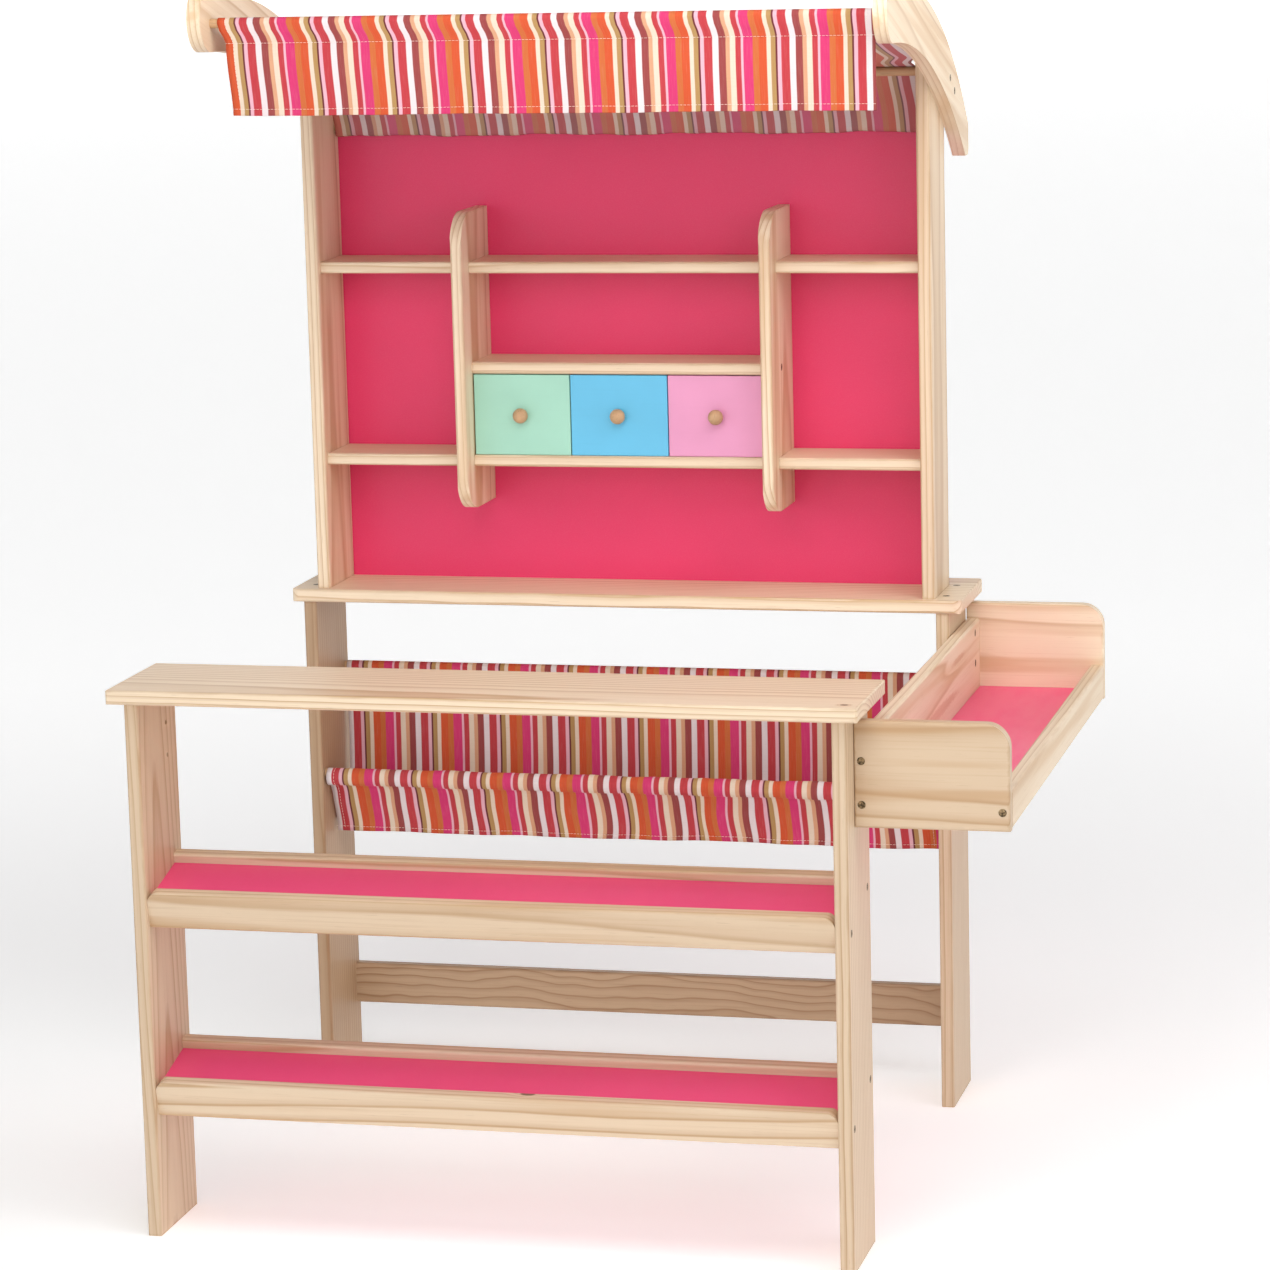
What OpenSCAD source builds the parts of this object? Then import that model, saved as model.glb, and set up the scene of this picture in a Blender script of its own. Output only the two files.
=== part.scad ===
// Toy market stall with a display counter, a shelf unit with three drawers,
// a side tray, a striped canopy and a fabric sling.
// Millimetres, +Z up, front of the stall towards -Y, resting on the floor at Z = 0.

/* [Boards] */
// thickness of legs, tops, uprights, arms and tray walls
board_t = 15; // [12:0.5:20]
// thickness of shelves and dividers
shelf_t = 13; // [10:0.5:18]
// thickness of the pink panels
panel_t = 4; // [3:0.5:6]
// rounding along the long edges of boards
edge_r = 3; // [1:0.5:5]
// rounding across the short ends of boards
end_r = 2; // [1:0.5:4]

/* [Counter] */
// length of the counter top and of the middle board
top_l = 775; // [600:5:1000]
// depth of the counter top and of the middle board
top_d = 150; // [120:5:220]
// height of both tops above the floor
top_h = 580; // [450:5:700]
// depth of every leg
leg_d = 112; // [90:1:140]
// overhang of the tops beyond the legs at each end
end_over = 14; // [5:1:40]
// setback of the counter legs behind the front of the top
counter_set = 15; // [5:1:30]

/* [Counter trays] */
// tilt of the two display trays, rear edge up
tray_tilt = 14; // [0:1:20]
// setback of the trays from the rear edge of the legs
tray_back = 2.3; // [0:0.1:20]
// height of the rails
rail_h = 40; // [25:1:60]
// depth of the tray floor below the upper edge of the rails
floor_down = 10; // [4:1:16]
// distance from the top down to the upper tray's lower front edge
tray_drop = 253; // [180:1:280]
// distance from the lower tray to the upper one
tray_step = 200; // [120:1:210]
// rounding of the upper corners of the front rails
rail_r = 12; // [2:1:20]

/* [Rear base] */
// distance from the counter's front to the middle board's front
rear_y = 596; // [400:1:800]
// setback of the rear legs behind the front of the middle board
rear_set = 3; // [0:1:20]
// corner rounding of the middle board
mid_r = 10; // [4:1:20]
// height of the stretcher board
stretcher_h = 48; // [30:1:80]
// height of the stretcher's lower edge
stretcher_z = 66; // [40:1:200]
// length of the stub tenons of the stretcher and the counter legs
tenon_l = 8; // [5:1:12]

/* [Shelf unit] */
// distance from a leg's outer face to the upright's outer face
upright_in = 16; // [15:1:40]
// setback of the uprights behind the front of the middle board
upright_set = 8; // [0:1:30]
// depth of the uprights
upright_d = 93; // [70:1:130]
// height of the uprights above the middle board
upright_h = 595; // [500:5:700]
// setback of the shelves behind the front of the uprights
shelf_set = 11; // [0:1:30]
// height of the upper face of the bottom shelf above the middle board
low_shelf_up = 154; // [100:1:200]
// height of the drawer bay between the bottom shelf and the short shelf
bay_h = 92; // [90:1:110]
// distance from the short shelf's upper face to the top shelf's upper face
shelf_step = 113; // [60:1:140]
// clear width between the two dividers
bay_w = 338; // [270:1:400]
// how far the dividers stand out in front of the uprights
divider_out = 18; // [5:1:30]
// height of a divider above the top shelf
divider_up = 56; // [20:1:90]
// length of a divider below the bottom shelf
divider_down = 48; // [20:1:80]
// rounding of the front corners of the dividers
divider_r = 40; // [10:1:50]
// depth of the housings for shelf ends in the uprights
housing_d = 4; // [2:0.5:6]

/* [Drawers] */
// gap beside and above each drawer
drawer_gap = 1; // [0.5:0.25:2]
// running gap under each drawer
drawer_rest = 0.3; // [0.2:0.1:0.6]
// thickness of a drawer front
front_t = 9; // [6:0.5:12]
// thickness of drawer sides and backs
side_t = 6; // [4:0.5:9]
// thickness of a drawer bottom
bottom_t = 3; // [2:0.5:5]
// height of drawer sides
side_h = 76; // [40:1:88]
// space behind a closed drawer
drawer_back = 5; // [2:1:10]
// diameter of a knob
knob_d = 17; // [12:0.5:25]
// projection of a knob
knob_l = 17; // [12:0.5:25]
// diameter of a knob's pin
pin_d = 6; // [4:0.5:8]

/* [Side tray] */
// width of the tray out from the legs
side_w = 155; // [110:1:240]
// distance from the counter's front to the tray's front
side_y = 50; // [20:1:90]
// distance from the tray's rear end forward to the middle board's rear edge
side_short = 19; // [0:1:60]
// gap between the end walls and the boards above them
side_gap = 7; // [2:1:60]
// height of the end walls
wall_h = 108; // [80:1:115]
// height of the long wall at the legs
inner_h = 90; // [60:1:110]
// height of the long outer wall
outer_h = 39; // [25:1:80]
// height of the floor's upper face above the lower edge
side_floor = 12; // [6:1:20]
// rounding of the outer upper corners of the end walls
wall_r = 26; // [5:1:40]

/* [Canopy] */
// diameter of every rod
rod_d = 10; // [8:0.5:14]
// front rod, reach in front of the uprights
front_rod_out = 282; // [200:1:340]
// middle rod, distance behind the front of the uprights
middle_rod_in = 18; // [10:1:40]
// middle rod, drop below the top of the uprights
middle_rod_drop = 17; // [10:1:40]
// rear rod, drop below the top of the uprights
rear_rod_drop = 76; // [50:1:110]
// radius of the rounded head of an arm
head_r = 34; // [26:1:40]
// drop of the front rod below the middle of that head
front_rod_low = 4; // [0:0.5:8]
// radius of the arms' upper edge
arm_upper_r = 555; // [450:5:700]
// radius of the arms' lower edge
arm_lower_r = 698; // [600:5:800]
// height of an arm at its thickest place
arm_h = 56; // [40:1:70]
// drop of the arms' middle below the top of the uprights at the front screws
arm_seat = 26.5; // [20:0.5:36]
// reach of the arms behind the uprights
arm_tail = 71; // [40:1:100]
// height of an arm at its rear end
tail_h = 33; // [20:1:45]
// length of the hanging front of the canopy below the front rod
valance_l = 97; // [60:1:140]
// thickness of the fabric
cloth_t = 1.4; // [1:0.1:2]

/* [Sling] */
// rear rod, distance below the middle board's upper face
sling_rear_drop = 108; // [60:1:150]
// front rod, drop below the rear rod
sling_front_drop = 110; // [60:1:150]
// lower hem, drop below the front rod
sling_low_drop = 74; // [50:1:120]
// radius of the fabric roll round the front rod
roll_r = 10; // [8:0.5:14]

/* [Fixings] */
// diameter of a screw's shank
screw_d = 3.6; // [3:0.1:4.5]
// diameter of a screw's head
head_d = 8; // [6:0.1:9]
// length of a screw
screw_l = 32; // [25:1:35]
// wood left behind the tip of a screw that joins two boards flat on each other
screw_back = 4; // [2:0.5:8]
// clearance round screws, rods, pins and tongues
fit = 0.2; // [0.1:0.05:0.4]

/* [Hidden] */

$fn = 48;
pine = [0.91, 0.80, 0.63];
beech = [0.75, 0.59, 0.41];
raspberry = [0.90, 0.28, 0.44];
brass = [0.30, 0.22, 0.14];
fabric = [0.85, 0.40, 0.42];
mint = [0.66, 0.86, 0.74];
sky = [0.44, 0.76, 0.92];
rose = [0.93, 0.62, 0.78];

// legs and tops
leg_h = top_h - board_t;
leg_x0 = end_over;
leg_x1 = top_l - end_over - board_t;
inner_x0 = leg_x0 + board_t;
inner_x1 = leg_x1;
inner_l = inner_x1 - inner_x0;
leg_mid = board_t / 2;
rear_leg_y = rear_y + rear_set;
rear_leg_end = rear_leg_y + leg_d;
arris = 0.5;
top_r = 4;
tenon_side = 3;
tenon_top = 8;
top_tenon_w = 30;
spare_d = 5;

// counter trays
tray_set = rail_h * sin(tray_tilt);
tray_d = (leg_d - tray_set - tray_back) / cos(tray_tilt);
tray_y = counter_set + tray_set;
tray_z = top_h - tray_drop;
floor_up = rail_h - floor_down;

// shelf unit
up_x0 = end_over + upright_in;
up_x1 = top_l - up_x0 - board_t;
up_in0 = up_x0 + board_t;
up_in1 = up_x1;
up_y = rear_y + upright_set;
up_end = up_y + upright_d;
shelf_y = up_y + shelf_set;
shelf_d = up_end - shelf_y;
lap_y = shelf_y + shelf_d / 2;
div_y = up_y - divider_out;
div_x0 = top_l / 2 - bay_w / 2 - shelf_t;
div_x1 = top_l / 2 + bay_w / 2;
low_shelf_z = top_h + low_shelf_up;
short_shelf_z = low_shelf_z + bay_h + shelf_t;
top_shelf_z = short_shelf_z + shelf_step;
upright_top = top_h + upright_h;
div_z0 = low_shelf_z - shelf_t - divider_down;
div_z1 = top_shelf_z + divider_up;
panel_drop = 15;
panel_side = 1;

// drawers
drawer_w = (bay_w - 4 * drawer_gap) / 3;
drawer_h = bay_h - drawer_gap - drawer_rest;
drawer_set = 2;
drawer_y = shelf_y + drawer_set;
drawer_d = up_end - drawer_back - drawer_y;
drawer_z = low_shelf_z + drawer_rest;
side_in = 0.5;
groove_d = 2;
groove_z = 4;
front_r = 1;

// side tray
side_x0 = top_l - end_over;
side_x1 = side_x0 + side_w;
side_end = rear_y + top_d - side_short;
side_z = leg_h - side_gap - wall_h;
side_free = inner_h - side_floor;
side_screw_z = [side_z + side_floor + 0.41 * side_free, side_z + side_floor + 0.85 * side_free];
counter_screw_y = (side_y + board_t + counter_set + leg_d) / 2;
rear_screw_y = rear_leg_end - 28;

// canopy
mid_rod_y = up_y + middle_rod_in;
mid_rod_z = upright_top - middle_rod_drop;
rear_rod_y = up_end - 10;
rear_rod_z = upright_top - rear_rod_drop;
rod_r = rod_d / 2;
rod_in = 8;
arm_x0 = up_x0 - board_t;
arm_x1 = up_x1 + board_t;
arm_end = up_end + arm_tail;
front_rod_y = up_y - front_rod_out;
arm_screw_y = [up_end - 42, up_end - 16];
tail_r = 9;

// edges of an arm over the lowest point of its head, at the place y
function upper_edge(y) = arm_h - arm_upper_r + sqrt(pow(arm_upper_r, 2) - pow(y - front_rod_y - 47, 2));
function lower_edge(y) = sqrt(pow(arm_lower_r, 2) - pow(y - front_rod_y + 2, 2)) - arm_lower_r;
function arm_middle(y) = (upper_edge(y) + lower_edge(y)) / 2;

arm_low = upright_top - arm_seat - arm_middle(arm_screw_y[0]);
head_z = arm_low + head_r;
front_rod_z = head_z - front_rod_low;
tail_z = arm_low + upper_edge(arm_end) - tail_h;
cloth_side = 3;
cloth_in = 2;
cloth_clear = 6;
cloth_taper = 54;

// sling
sling_rear_z = top_h - sling_rear_drop;
sling_front_z = sling_rear_z - sling_front_drop;
sling_low_z = sling_front_z - sling_low_drop;
sling_rear_y = rear_leg_end - 11;
sling_front_y = rear_leg_y + 14;
sling_low_y = rear_leg_y + 41;

// screws
face_screw_l = 2 * board_t - screw_back;
sink = 3;
cross_l = 4.4;
cross_w = 1;
cross_d = 1.6;

// whole stall, centred over the origin
span_x = side_x1;
span_y = arm_end;

module stall(c) {
    color(c) translate([-span_x / 2, -span_y / 2, 0]) children();
}

// rounded rectangle from the origin
module rrect(w, h, r) {
    translate([r, 0]) square([w - 2 * r, h]);
    translate([0, r]) square([w, h - 2 * r]);
    for (x = [r, w - r]) {
        for (y = [r, h - r]) {
            translate([x, y]) circle(r);
        }
    }
}

// extrusion of a profile drawn in Y and Z along X
module along_x(l) {
    rotate([90, 0, 90]) linear_extrude(l) children();
}

// extrusion of a profile drawn in X and Z along Y
module along_y(l) {
    translate([0, l, 0]) rotate([90, 0, 0]) linear_extrude(l) children();
}

// board with the edges along X rounded by rx, across by ry, upright corners by rz
module board(s, rx, ry, rz) {
    intersection() {
        along_x(s[0]) rrect(s[1], s[2], rx);
        along_y(s[1]) rrect(s[0], s[2], ry);
        linear_extrude(s[2]) rrect(s[0], s[1], rz);
    }
}

// countersunk cross-head screw of length l, head face at p, turned by a; grown by g for its hole
module screw(p, a, g, l = screw_l) {
    translate(p) rotate(a) difference() {
        union() {
            translate([0, 0, -l - g]) cylinder(d = screw_d + 2 * g, h = l + g, $fn = 24);
            translate([0, 0, -sink - g])
                cylinder(d1 = screw_d + 2 * g, d2 = head_d + 2 * g, h = sink, $fn = 32);
            translate([0, 0, -g]) cylinder(d = head_d + 2 * g, h = g + (g > 0 ? 1 : 0.01), $fn = 32);
        }
        if (g == 0) {
            translate([0, 0, cross_w - cross_d]) cube([cross_l, cross_w, 2 * cross_w], center = true);
            translate([0, 0, cross_w - cross_d]) cube([cross_w, cross_l, 2 * cross_w], center = true);
        }
    }
}

down = [0, 0, 0];
up = [180, 0, 0];
to_right = [0, -90, 0];
to_left = [0, 90, 0];
to_rear = [90, 0, 0];
to_front = [-90, 0, 0];

module mid_board_screws(g) {
    for (x = [leg_x0 + leg_mid, leg_x1 + leg_mid]) {
        for (y = [rear_leg_y + 28, rear_leg_end - 16]) {
            screw([x, y, top_h], down, g);
        }
    }
}

module upright_screws(g) {
    for (x = [up_x0 + leg_mid, up_x1 + leg_mid]) {
        for (y = [up_y + 22, up_end - 24]) {
            screw([x, y, top_h - board_t], up, g);
        }
    }
}

module panel_screws(g) {
    for (x = [up_x0 + leg_mid, up_x1 + leg_mid]) {
        for (z = [top_h + 45, low_shelf_z + 70, top_shelf_z - 40, rear_rod_z - 25]) {
            screw([x, up_end + panel_t, z], to_front, g);
        }
    }
}

// a place in a tilted counter tray: u back from its front, w up, n tray steps down
function tray_at(u, w, n) = [
    tray_y + u * cos(tray_tilt) - w * sin(tray_tilt),
    tray_z - n * tray_step + u * sin(tray_tilt) + w * cos(tray_tilt)];

module counter_tray_screws(n, g) {
    for (q = [tray_at(leg_mid, rail_h / 2, n), tray_at(tray_d - leg_mid, rail_h * 0.65, n)]) {
        screw([leg_x0, q[0], q[1]], to_right, g);
        screw([leg_x1 + board_t, q[0], q[1]], to_left, g);
    }
}

module short_shelf_screws(g) {
    screw([div_x0, shelf_y + 24, short_shelf_z - shelf_t / 2], to_right, g);
    screw([div_x1 + shelf_t, shelf_y + 24, short_shelf_z - shelf_t / 2], to_left, g);
}

module side_end_screws(y, a, g) {
    for (h = [0.26 * inner_h, 0.75 * inner_h]) {
        screw([side_x0 + leg_mid, y, side_z + h], a, g);
    }
    screw([side_x1 - leg_mid, y, side_z + outer_h / 2], a, g);
}

module side_inner_screws(y, g) {
    for (z = side_screw_z) {
        screw([side_x0 + board_t, y, z], to_left, g, face_screw_l);
    }
}

module arm_screws(g) {
    for (y = arm_screw_y) {
        screw([arm_x0, y, arm_low + arm_middle(y)], to_right, g, face_screw_l);
        screw([arm_x1 + board_t, y, arm_low + arm_middle(y)], to_left, g, face_screw_l);
    }
}

module screws() {
    stall(brass) {
        mid_board_screws(0);
        upright_screws(0);
        panel_screws(0);
        counter_tray_screws(0, 0);
        counter_tray_screws(1, 0);
        short_shelf_screws(0);
        side_end_screws(side_y, to_rear, 0);
        side_end_screws(side_end, to_front, 0);
        side_inner_screws(counter_screw_y, 0);
        side_inner_screws(rear_screw_y, 0);
        arm_screws(0);
    }
}

// counter
// the two stub tenons on top of the leg at x, grown by g for their blind mortises
module top_tenons(x, g) {
    for (y = [counter_set + tenon_top, counter_set + leg_d - tenon_top - top_tenon_w]) {
        translate([x + tenon_side - g, y - g, leg_h - tenon_side])
            cube([board_t - 2 * tenon_side + 2 * g, top_tenon_w + 2 * g, tenon_side + tenon_l + g]);
    }
}

module counter_top() {
    stall(pine) difference() {
        translate([0, 0, leg_h]) board([top_l, top_d, board_t], edge_r, end_r, top_r);
        top_tenons(leg_x0, fit);
        top_tenons(leg_x1, fit);
    }
}

module counter_leg(x) {
    translate([x, counter_set, 0]) board([board_t, leg_d, leg_h], arris, arris, edge_r);
    top_tenons(x, 0);
}

module counter_leg_left() {
    stall(pine) difference() {
        counter_leg(leg_x0);
        counter_tray_screws(0, fit);
        counter_tray_screws(1, fit);
        for (z = side_screw_z) {
            translate([leg_x0 - 1, counter_screw_y, z]) rotate([0, 90, 0])
                cylinder(d = spare_d, h = board_t + 2);
        }
    }
}

module counter_leg_right() {
    stall(pine) difference() {
        counter_leg(leg_x1);
        counter_tray_screws(0, fit);
        counter_tray_screws(1, fit);
        side_inner_screws(counter_screw_y, fit);
    }
}

module in_tray(n) {
    p = tray_at(0, 0, n);
    translate([inner_x0, p[0], p[1]]) rotate([tray_tilt, 0, 0]) children();
}

// the floor's slab between the grooves of both rails, grown by g for its groove
module tray_slab(g) {
    translate([-g, board_t - panel_t, floor_up - panel_t - g])
        cube([inner_l + 2 * g, tray_d - 2 * board_t + 2 * panel_t, panel_t + 2 * g]);
}

module tray_front_rail(n) {
    stall(pine) difference() {
        in_tray(n) difference() {
            intersection() {
                along_x(inner_l) rrect(board_t, rail_h, edge_r);
                translate([0, 0, -rail_h]) along_y(board_t) rrect(inner_l, 2 * rail_h, rail_r);
            }
            tray_slab(fit);
        }
        counter_tray_screws(n, fit);
    }
}

module tray_back_rail(n) {
    stall(pine) difference() {
        in_tray(n) difference() {
            translate([0, tray_d - board_t, 0]) along_x(inner_l) rrect(board_t, rail_h, edge_r);
            tray_slab(fit);
        }
        counter_tray_screws(n, fit);
    }
}

module tray_floor(n) {
    stall(raspberry) in_tray(n) tray_slab(0);
}

module upper_tray_front_rail() {
    tray_front_rail(0);
}

module upper_tray_back_rail() {
    tray_back_rail(0);
}

module upper_tray_floor() {
    tray_floor(0);
}

module lower_tray_front_rail() {
    tray_front_rail(1);
}

module lower_tray_back_rail() {
    tray_back_rail(1);
}

module lower_tray_floor() {
    tray_floor(1);
}

// rear base
module rod(y, z, x0, x1, g) {
    translate([x0, y, z]) rotate([0, 90, 0]) cylinder(d = rod_d + 2 * g, h = x1 - x0);
}

module sling_rods(which, g) {
    reach = rod_in + g;
    if (which != "front") {
        rod(sling_rear_y, sling_rear_z, inner_x0 - reach, inner_x1 + reach, g);
    }
    if (which != "rear") {
        rod(sling_front_y, sling_front_z, inner_x0 - reach, inner_x1 + reach, g);
    }
}

module stretcher_body(g) {
    translate([inner_x0 - tenon_l - g, rear_leg_end - board_t + tenon_side - g,
        stretcher_z + tenon_top - g])
        cube([inner_l + 2 * tenon_l + 2 * g, board_t - 2 * tenon_side + 2 * g,
            stretcher_h - 2 * tenon_top + 2 * g]);
}

module rear_leg(x) {
    difference() {
        translate([x, rear_leg_y, 0]) board([board_t, leg_d, leg_h], arris, arris, edge_r);
        mid_board_screws(fit);
        sling_rods("both", fit);
        stretcher_body(fit);
    }
}

module rear_leg_left() {
    stall(pine) rear_leg(leg_x0);
}

module rear_leg_right() {
    stall(pine) difference() {
        rear_leg(leg_x1);
        side_inner_screws(rear_screw_y, fit);
    }
}

module rear_stretcher() {
    stall(pine) {
        translate([inner_x0, rear_leg_end - board_t, stretcher_z])
            along_x(inner_l) rrect(board_t, stretcher_h, edge_r);
        stretcher_body(0);
    }
}

module mid_board() {
    stall(pine) difference() {
        translate([0, rear_y, leg_h]) board([top_l, top_d, board_t], edge_r, end_r, mid_r);
        mid_board_screws(fit);
        upright_screws(fit);
    }
}

module sling_rear_rod() {
    stall(beech) sling_rods("rear", 0);
}

module sling_front_rod() {
    stall(beech) sling_rods("front", 0);
}

// outline of a folded strip of fabric along the points p
function side_of(a, b, t) = let (d = b - a, n = norm(d)) [-d[1] / n * t / 2, d[0] / n * t / 2];

function edge_of(p, t) = [for (i = [0 : len(p) - 1])
    let (a = p[max(i - 1, 0)], b = p[min(i + 1, len(p) - 1)])
    p[i] + side_of(a, b, t)];

module ribbon(p, t) {
    l = edge_of(p, t);
    r = edge_of(p, -t);
    polygon(concat(l, [for (i = [len(r) - 1 : -1 : 0]) r[i]]));
}

// points on an arc of radius r about c, from angle a to angle b in n steps
function arc(c, r, a, b, n) = [for (i = [0 : n]) let (t = a + (b - a) * i / n) c + r * [cos(t), sin(t)]];

// places between a and b at the shares s of the way, across and up
function between(a, b, s) = [for (q = s) [a[0] + (b[0] - a[0]) * q[0], a[1] + (b[1] - a[1]) * q[1]]];

module sling_cloth() {
    over = rod_r + 2 * fit + cloth_t / 2;
    rear = [sling_rear_y, sling_rear_z];
    front = [sling_front_y, sling_front_z];
    roll = front + [0, over - roll_r];
    low = [sling_low_y, sling_low_z];
    rear_hang = [[0.9, 0.75], [0.89, 0.5], [0.84, 0.3], [0.62, 0.14], [0.2, 0.075], [0.02, 0.055], [0, 0]];
    front_hang = [[0, 0], [0.02, 0.14], [0.33, 0.43], [0.7, 0.71]];
    stall(fabric) translate([inner_x0 + cloth_side, 0, 0]) along_x(inner_l - 2 * cloth_side) {
        ribbon(concat(arc(rear, over, -70, 185, 12), between(low, rear, rear_hang)), cloth_t);
        ribbon(concat(between(low, roll, front_hang), arc(roll, roll_r, 285, -20, 16)), cloth_t);
    }
}

// shelf unit
module shelf_housings() {
    for (z = [top_shelf_z, low_shelf_z]) {
        translate([up_in0 - housing_d - fit, shelf_y - fit, z - shelf_t - fit])
            cube([up_in1 - up_in0 + 2 * housing_d + 2 * fit, shelf_d + 1, shelf_t + 2 * fit]);
    }
}

module canopy_rods(g) {
    reach = rod_in + g;
    rod(mid_rod_y, mid_rod_z, up_in0 - reach, up_in1 + reach, g);
    rod(rear_rod_y, rear_rod_z, up_in0 - reach, up_in1 + reach, g);
}

module upright(x) {
    difference() {
        translate([x, up_y, top_h]) board([board_t, upright_d, upright_h], arris, arris, edge_r);
        shelf_housings();
        canopy_rods(fit);
        upright_screws(fit);
        panel_screws(fit);
        arm_screws(fit);
    }
}

module upright_left() {
    stall(pine) upright(up_x0);
}

module upright_right() {
    stall(pine) upright(up_x1);
}

module back_panel() {
    stall(raspberry) difference() {
        translate([up_x0 + panel_side, up_end, top_h])
            cube([up_x1 + board_t - up_x0 - 2 * panel_side, panel_t, upright_h - panel_drop]);
        panel_screws(fit);
    }
}

// slots where the shelves and the dividers halve each other
module divider_slots() {
    for (x = [div_x0, div_x1]) {
        translate([x - fit, shelf_y - 1, 0]) cube([shelf_t + 2 * fit, lap_y - shelf_y + 1, upright_top]);
    }
}

module long_shelf(z) {
    x0 = up_in0 - housing_d;
    difference() {
        translate([x0, shelf_y, z - shelf_t])
            along_x(up_in1 - up_in0 + 2 * housing_d) rrect(shelf_d, shelf_t, edge_r);
        divider_slots();
    }
}

module top_shelf() {
    stall(pine) long_shelf(top_shelf_z);
}

module low_shelf() {
    stall(pine) long_shelf(low_shelf_z);
}

module short_shelf() {
    stall(pine) difference() {
        translate([div_x0 + shelf_t, shelf_y, short_shelf_z - shelf_t])
            along_x(bay_w) rrect(shelf_d, shelf_t, edge_r);
        short_shelf_screws(fit);
    }
}

module divider(x) {
    d = up_end - div_y;
    difference() {
        translate([x, div_y, div_z0]) intersection() {
            along_x(shelf_t) rrect(2 * d, div_z1 - div_z0, divider_r);
            linear_extrude(div_z1 - div_z0) rrect(shelf_t, 2 * d, edge_r);
            cube([shelf_t, d, div_z1 - div_z0]);
        }
        for (z = [top_shelf_z, low_shelf_z]) {
            translate([x - 1, lap_y - fit, z - shelf_t - fit])
                cube([shelf_t + 2, shelf_d, shelf_t + 2 * fit]);
        }
        short_shelf_screws(fit);
    }
}

module divider_left() {
    stall(pine) divider(div_x0);
}

module divider_right() {
    stall(pine) divider(div_x1);
}

// drawers, n counted from the left
module in_drawer(n) {
    translate([div_x0 + shelf_t + drawer_gap + n * (drawer_w + drawer_gap), drawer_y, drawer_z]) children();
}

module bottom_slab(g) {
    translate([side_t - groove_d - g, front_t - groove_d - g, groove_z - g])
        cube([drawer_w - 2 * side_t + 2 * groove_d + 2 * g,
            drawer_d - front_t + groove_d + g - (g > 0 ? -1 : 0), bottom_t + 2 * g]);
}

module knob_body(g) {
    translate([drawer_w / 2, 0, drawer_h / 2]) rotate([90, 0, 0]) {
        translate([0, 0, -front_t + 1 - g]) cylinder(d = pin_d + 2 * g, h = front_t + 3);
        if (g == 0) {
            cylinder(d1 = knob_d * 0.5, d2 = knob_d * 0.62, h = knob_l - knob_d * 0.5);
            intersection() {
                translate([0, 0, knob_l - knob_d * 0.5]) sphere(d = knob_d);
                translate([0, 0, knob_l - knob_d * 0.9]) cylinder(d = knob_d + 1, h = knob_d * 0.9);
            }
        }
    }
}

module drawer_front(n, c) {
    stall(c) in_drawer(n) difference() {
        board([drawer_w, front_t, drawer_h], front_r, front_r, front_r);
        bottom_slab(fit);
        knob_body(fit);
    }
}

module drawer_sides(n) {
    stall(pine) in_drawer(n) difference() {
        for (x = [side_in, drawer_w - side_t - side_in]) {
            translate([x, front_t, 0]) cube([side_t, drawer_d - front_t, side_h]);
        }
        bottom_slab(fit);
    }
}

module drawer_back(n) {
    stall(pine) in_drawer(n)
        translate([side_t + side_in, drawer_d - side_t, groove_z + bottom_t])
        cube([drawer_w - 2 * side_t - 2 * side_in, side_t, side_h - groove_z - bottom_t]);
}

module drawer_bottom(n) {
    stall(pine) in_drawer(n) bottom_slab(0);
}

module drawer_knob(n) {
    stall(beech) in_drawer(n) knob_body(0);
}

module green_drawer_front() {
    drawer_front(0, mint);
}

module green_drawer_sides() {
    drawer_sides(0);
}

module green_drawer_back() {
    drawer_back(0);
}

module green_drawer_bottom() {
    drawer_bottom(0);
}

module green_drawer_knob() {
    drawer_knob(0);
}

module blue_drawer_front() {
    drawer_front(1, sky);
}

module blue_drawer_sides() {
    drawer_sides(1);
}

module blue_drawer_back() {
    drawer_back(1);
}

module blue_drawer_bottom() {
    drawer_bottom(1);
}

module blue_drawer_knob() {
    drawer_knob(1);
}

module pink_drawer_front() {
    drawer_front(2, rose);
}

module pink_drawer_sides() {
    drawer_sides(2);
}

module pink_drawer_back() {
    drawer_back(2);
}

module pink_drawer_bottom() {
    drawer_bottom(2);
}

module pink_drawer_knob() {
    drawer_knob(2);
}

// canopy
module arm_outline() {
    translate([front_rod_y, head_z]) circle(head_r, $fn = 96);
    difference() {
        intersection() {
            translate([front_rod_y + 47, arm_low + arm_h - arm_upper_r]) circle(arm_upper_r, $fn = 180);
            translate([front_rod_y, tail_z]) square([arm_end - front_rod_y, arm_low + arm_h - tail_z]);
        }
        translate([front_rod_y - 2, arm_low - arm_lower_r]) circle(arm_lower_r, $fn = 180);
        difference() {
            translate([arm_end - tail_r, tail_z - 1]) square(tail_r + 1);
            translate([arm_end - tail_r, tail_z + tail_r]) circle(tail_r);
        }
    }
}

module arm(x) {
    difference() {
        translate([x, 0, 0]) along_x(board_t) arm_outline();
        rod(front_rod_y, front_rod_z, arm_x0 + board_t - rod_in - fit, arm_x1 + rod_in + fit, fit);
        arm_screws(fit);
    }
}

module canopy_arm_left() {
    stall(pine) arm(arm_x0);
}

module canopy_arm_right() {
    stall(pine) arm(arm_x1);
}

module canopy_front_rod() {
    stall(beech) rod(front_rod_y, front_rod_z, up_x0 - rod_in, arm_x1 + rod_in, 0);
}

module canopy_middle_rod() {
    stall(beech) rod(mid_rod_y, mid_rod_z, up_in0 - rod_in, up_in1 + rod_in, 0);
}

module canopy_rear_rod() {
    stall(beech) rod(rear_rod_y, rear_rod_z, up_in0 - rod_in, up_in1 + rod_in, 0);
}

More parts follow.
